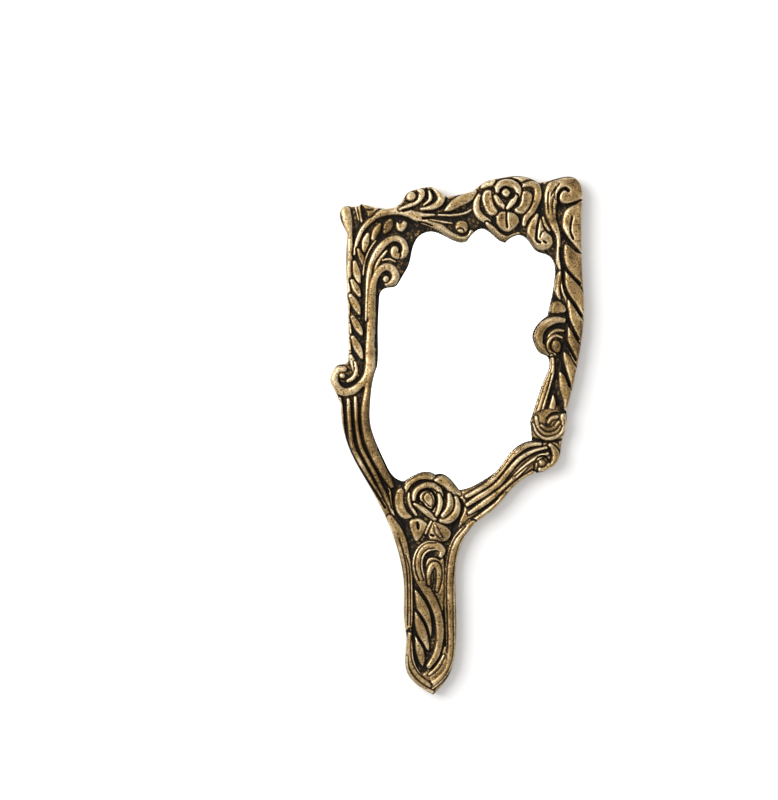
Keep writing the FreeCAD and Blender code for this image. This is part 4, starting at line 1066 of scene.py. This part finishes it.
class Tree:
    # a Geometry Nodes tree with named inputs

    def __init__(self, name):
        self.tree = bpy.data.node_groups.new(name, "GeometryNodeTree")
        self.tree.interface.new_socket("Geometry", in_out="INPUT", socket_type="NodeSocketGeometry")
        self.tree.interface.new_socket("Geometry", in_out="OUTPUT", socket_type="NodeSocketGeometry")
        self.given = {}      # value of each named input, by its socket's identifier

    def number(self, name, value, kind="NodeSocketFloat"):
        socket = self.tree.interface.new_socket(name, in_out="INPUT", socket_type=kind)
        socket.default_value = value
        self.given[socket.identifier] = value

    def start(self):
        self.out = self.tree.nodes.new("NodeGroupOutput")
        return self.tree.nodes.new("NodeGroupInput").outputs

    def add(self, kind, settings=None, inputs=None, output=0):
        node = self.tree.nodes.new(kind)
        for name, value in (settings or {}).items():
            setattr(node, name, value)
        for key, value in (inputs or {}).items():
            for item in value if isinstance(value, list) else [value]:
                if isinstance(item, bpy.types.NodeSocket):
                    self.tree.links.new(item, node.inputs[key])
                else:
                    node.inputs[key].default_value = item
        return node.outputs[output]

    def finish(self, geometry, material):
        real = self.add("GeometryNodeRealizeInstances", {}, {0: geometry})
        painted = self.add("GeometryNodeSetMaterial", {}, {"Geometry": real, "Material": material})
        self.tree.links.new(painted, self.out.inputs[0])

    def apply(self, piece):
        # run the tree on the piece and keep the result as its plain mesh
        modifier = piece.modifiers.new(self.tree.name, "NODES")
        modifier.node_group = self.tree
        for identifier, value in self.given.items():
            modifier[identifier] = value
        bpy.context.view_layer.update()
        evaluated = piece.evaluated_get(bpy.context.evaluated_depsgraph_get())
        mesh = bpy.data.meshes.new_from_object(evaluated)
        piece.modifiers.clear()
        piece.data = mesh
        return piece


def screwFinish():
    make = Finish("screw_brass")
    where = make.objectPlace()
    grain = make.noise(where, screws["grainScale"], 3.0, 0.6)
    dull = make.step(make.noise(where, screws["cloudScale"], 3.0, 0.6), 0.45, 0.7)
    metal = make.mix(grain, screws["dark"], screws["light"])
    return make.set(Base_Color=make.mix(dull * 0.6, metal, screws["dull"]), Metallic=1.0,
                    Roughness=0.26 + dull * 0.2, Normal=make.bump(grain, 0.15, 0.00004))


def buildScrews():
    tree = Tree("countersunkScrews")
    for name in screwSizes:
        tree.number(name, screws[name] * 0.001)
    tree.number("turnSeed", screws["turnSeed"], "NodeSocketInt")
    given = tree.start()
    # head standing on the plane of the slot's mouth, shank growing out of it
    head = tree.add("GeometryNodeMeshCone", {}, {"Vertices": 40, "Radius Top": given["topRadius"],
                                                 "Radius Bottom": given["headRadius"], "Depth": given["headHeight"]})
    tail = tree.add("GeometryNodeMeshCylinder", {}, {"Vertices": 40, "Radius": given["shankRadius"],
                                                     "Depth": given["shankLength"]})
    lift = tree.add("ShaderNodeMath", {"operation": "MULTIPLY_ADD"},
                    {0: given["shankLength"], 1: 0.5, 2: given["shankStart"]})
    up = tree.add("ShaderNodeCombineXYZ", {}, {"Z": lift})
    tail = tree.add("GeometryNodeTransform", {}, {"Geometry": tail, "Translation": up})
    body = tree.add("GeometryNodeMeshBoolean", {"operation": "UNION", "solver": "EXACT"}, {1: [head, tail]})
    wide = tree.add("ShaderNodeMath", {"operation": "MULTIPLY"}, {0: given["headRadius"], 1: 3.0})
    deep = tree.add("ShaderNodeMath", {"operation": "MULTIPLY"}, {0: given["slotDepth"], 1: 2.0})
    size = tree.add("ShaderNodeCombineXYZ", {}, {"X": wide, "Y": given["slotWidth"], "Z": deep})
    slot = tree.add("GeometryNodeMeshCube", {}, {"Size": size})
    body = tree.add("GeometryNodeMeshBoolean", {"operation": "DIFFERENCE", "solver": "EXACT"}, {0: body, 1: slot})
    turn = tree.add("FunctionNodeRandomValue", {"data_type": "FLOAT"}, {2: 0.0, 3: math.pi, "Seed": given["turnSeed"]},
                    output=1)
    spin = tree.add("ShaderNodeCombineXYZ", {}, {"Z": turn})
    spots = tree.add("GeometryNodeInstanceOnPoints", {}, {"Points": given["Geometry"], "Instance": body,
                                                          "Rotation": spin})
    tree.finish(spots, screwFinish())
    return tree.apply(newPiece("turned_screws", screwPlaces()))


turnedScrews = buildScrews()
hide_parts("plate_screws")
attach(turnedScrews, "root")
print("screws", len(turnedScrews.data.vertices), "points")


studio = {
    "aim": (-0.0332, 0.0171),
    "faceHeight": 0.009,
    "distance": 1.0,
    "shown": 0.388,          # height of the camera's view on the face's plane
    "floor": (0.93, 0.93, 0.93),
    "floorDrop": 0.2,        # mm under the casting, so that the two don't share a plane
    "world": 0.6,
    "key": {"at": (-0.63, 0.32, 0.8), "size": 0.7, "power": 9.9, "colour": (1.0, 0.99, 0.97)},
    "over": {"at": (0.0, 0.0, 1.7), "size": 0.95, "power": 3.4, "colour": (1.0, 1.0, 1.0)},
}


def lamp(name):
    look = studio[name]
    light = bpy.data.lights.new(name, "AREA")
    light.shape = "SQUARE"
    light.size = look["size"]
    light.energy = look["power"]
    light.color = look["colour"]
    holder = bpy.data.objects.new(name, light)
    holder.location = look["at"]
    holder.rotation_euler = (Vector((0, 0, 0)) - Vector(look["at"])).to_track_quat("-Z", "Y").to_euler()
    bpy.context.scene.collection.objects.link(holder)


def setStudio():
    bm = bmesh.new()
    bmesh.ops.create_grid(bm, x_segments=8, y_segments=8, size=4.0)
    floor = newPiece("pale_floor", bm)
    floor.data.transform(Matrix.Translation((0, 0, -studio["floorDrop"] / 1000)))
    make = Finish("pale_floor")
    faint = make.noise(make.objectPlace(), 6.0, 2.0, 0.5)
    darker = [c * 0.99 for c in studio["floor"]]
    dress(floor, make.set(Base_Color=make.mix(faint, studio["floor"], darker), Roughness=0.9))
    world = bpy.data.worlds.new("studio")
    world.use_nodes = True
    sky = world.node_tree.nodes["Background"].inputs
    sky["Color"].default_value = (1.0, 1.0, 1.0, 1.0)
    sky["Strength"].default_value = studio["world"]
    bpy.context.scene.world = world
    lamp("key")
    lamp("over")
    camera = bpy.data.cameras.new("camera")
    camera.lens = camera.sensor_width * studio["distance"] / studio["shown"]
    camera.clip_end = 20.0
    holder = bpy.data.objects.new("camera", camera)
    holder.location = (*studio["aim"], studio["faceHeight"] + studio["distance"])
    bpy.context.scene.collection.objects.link(holder)
    bpy.context.scene.camera = holder
    bpy.context.scene.view_settings.view_transform = "Standard"


setStudio()
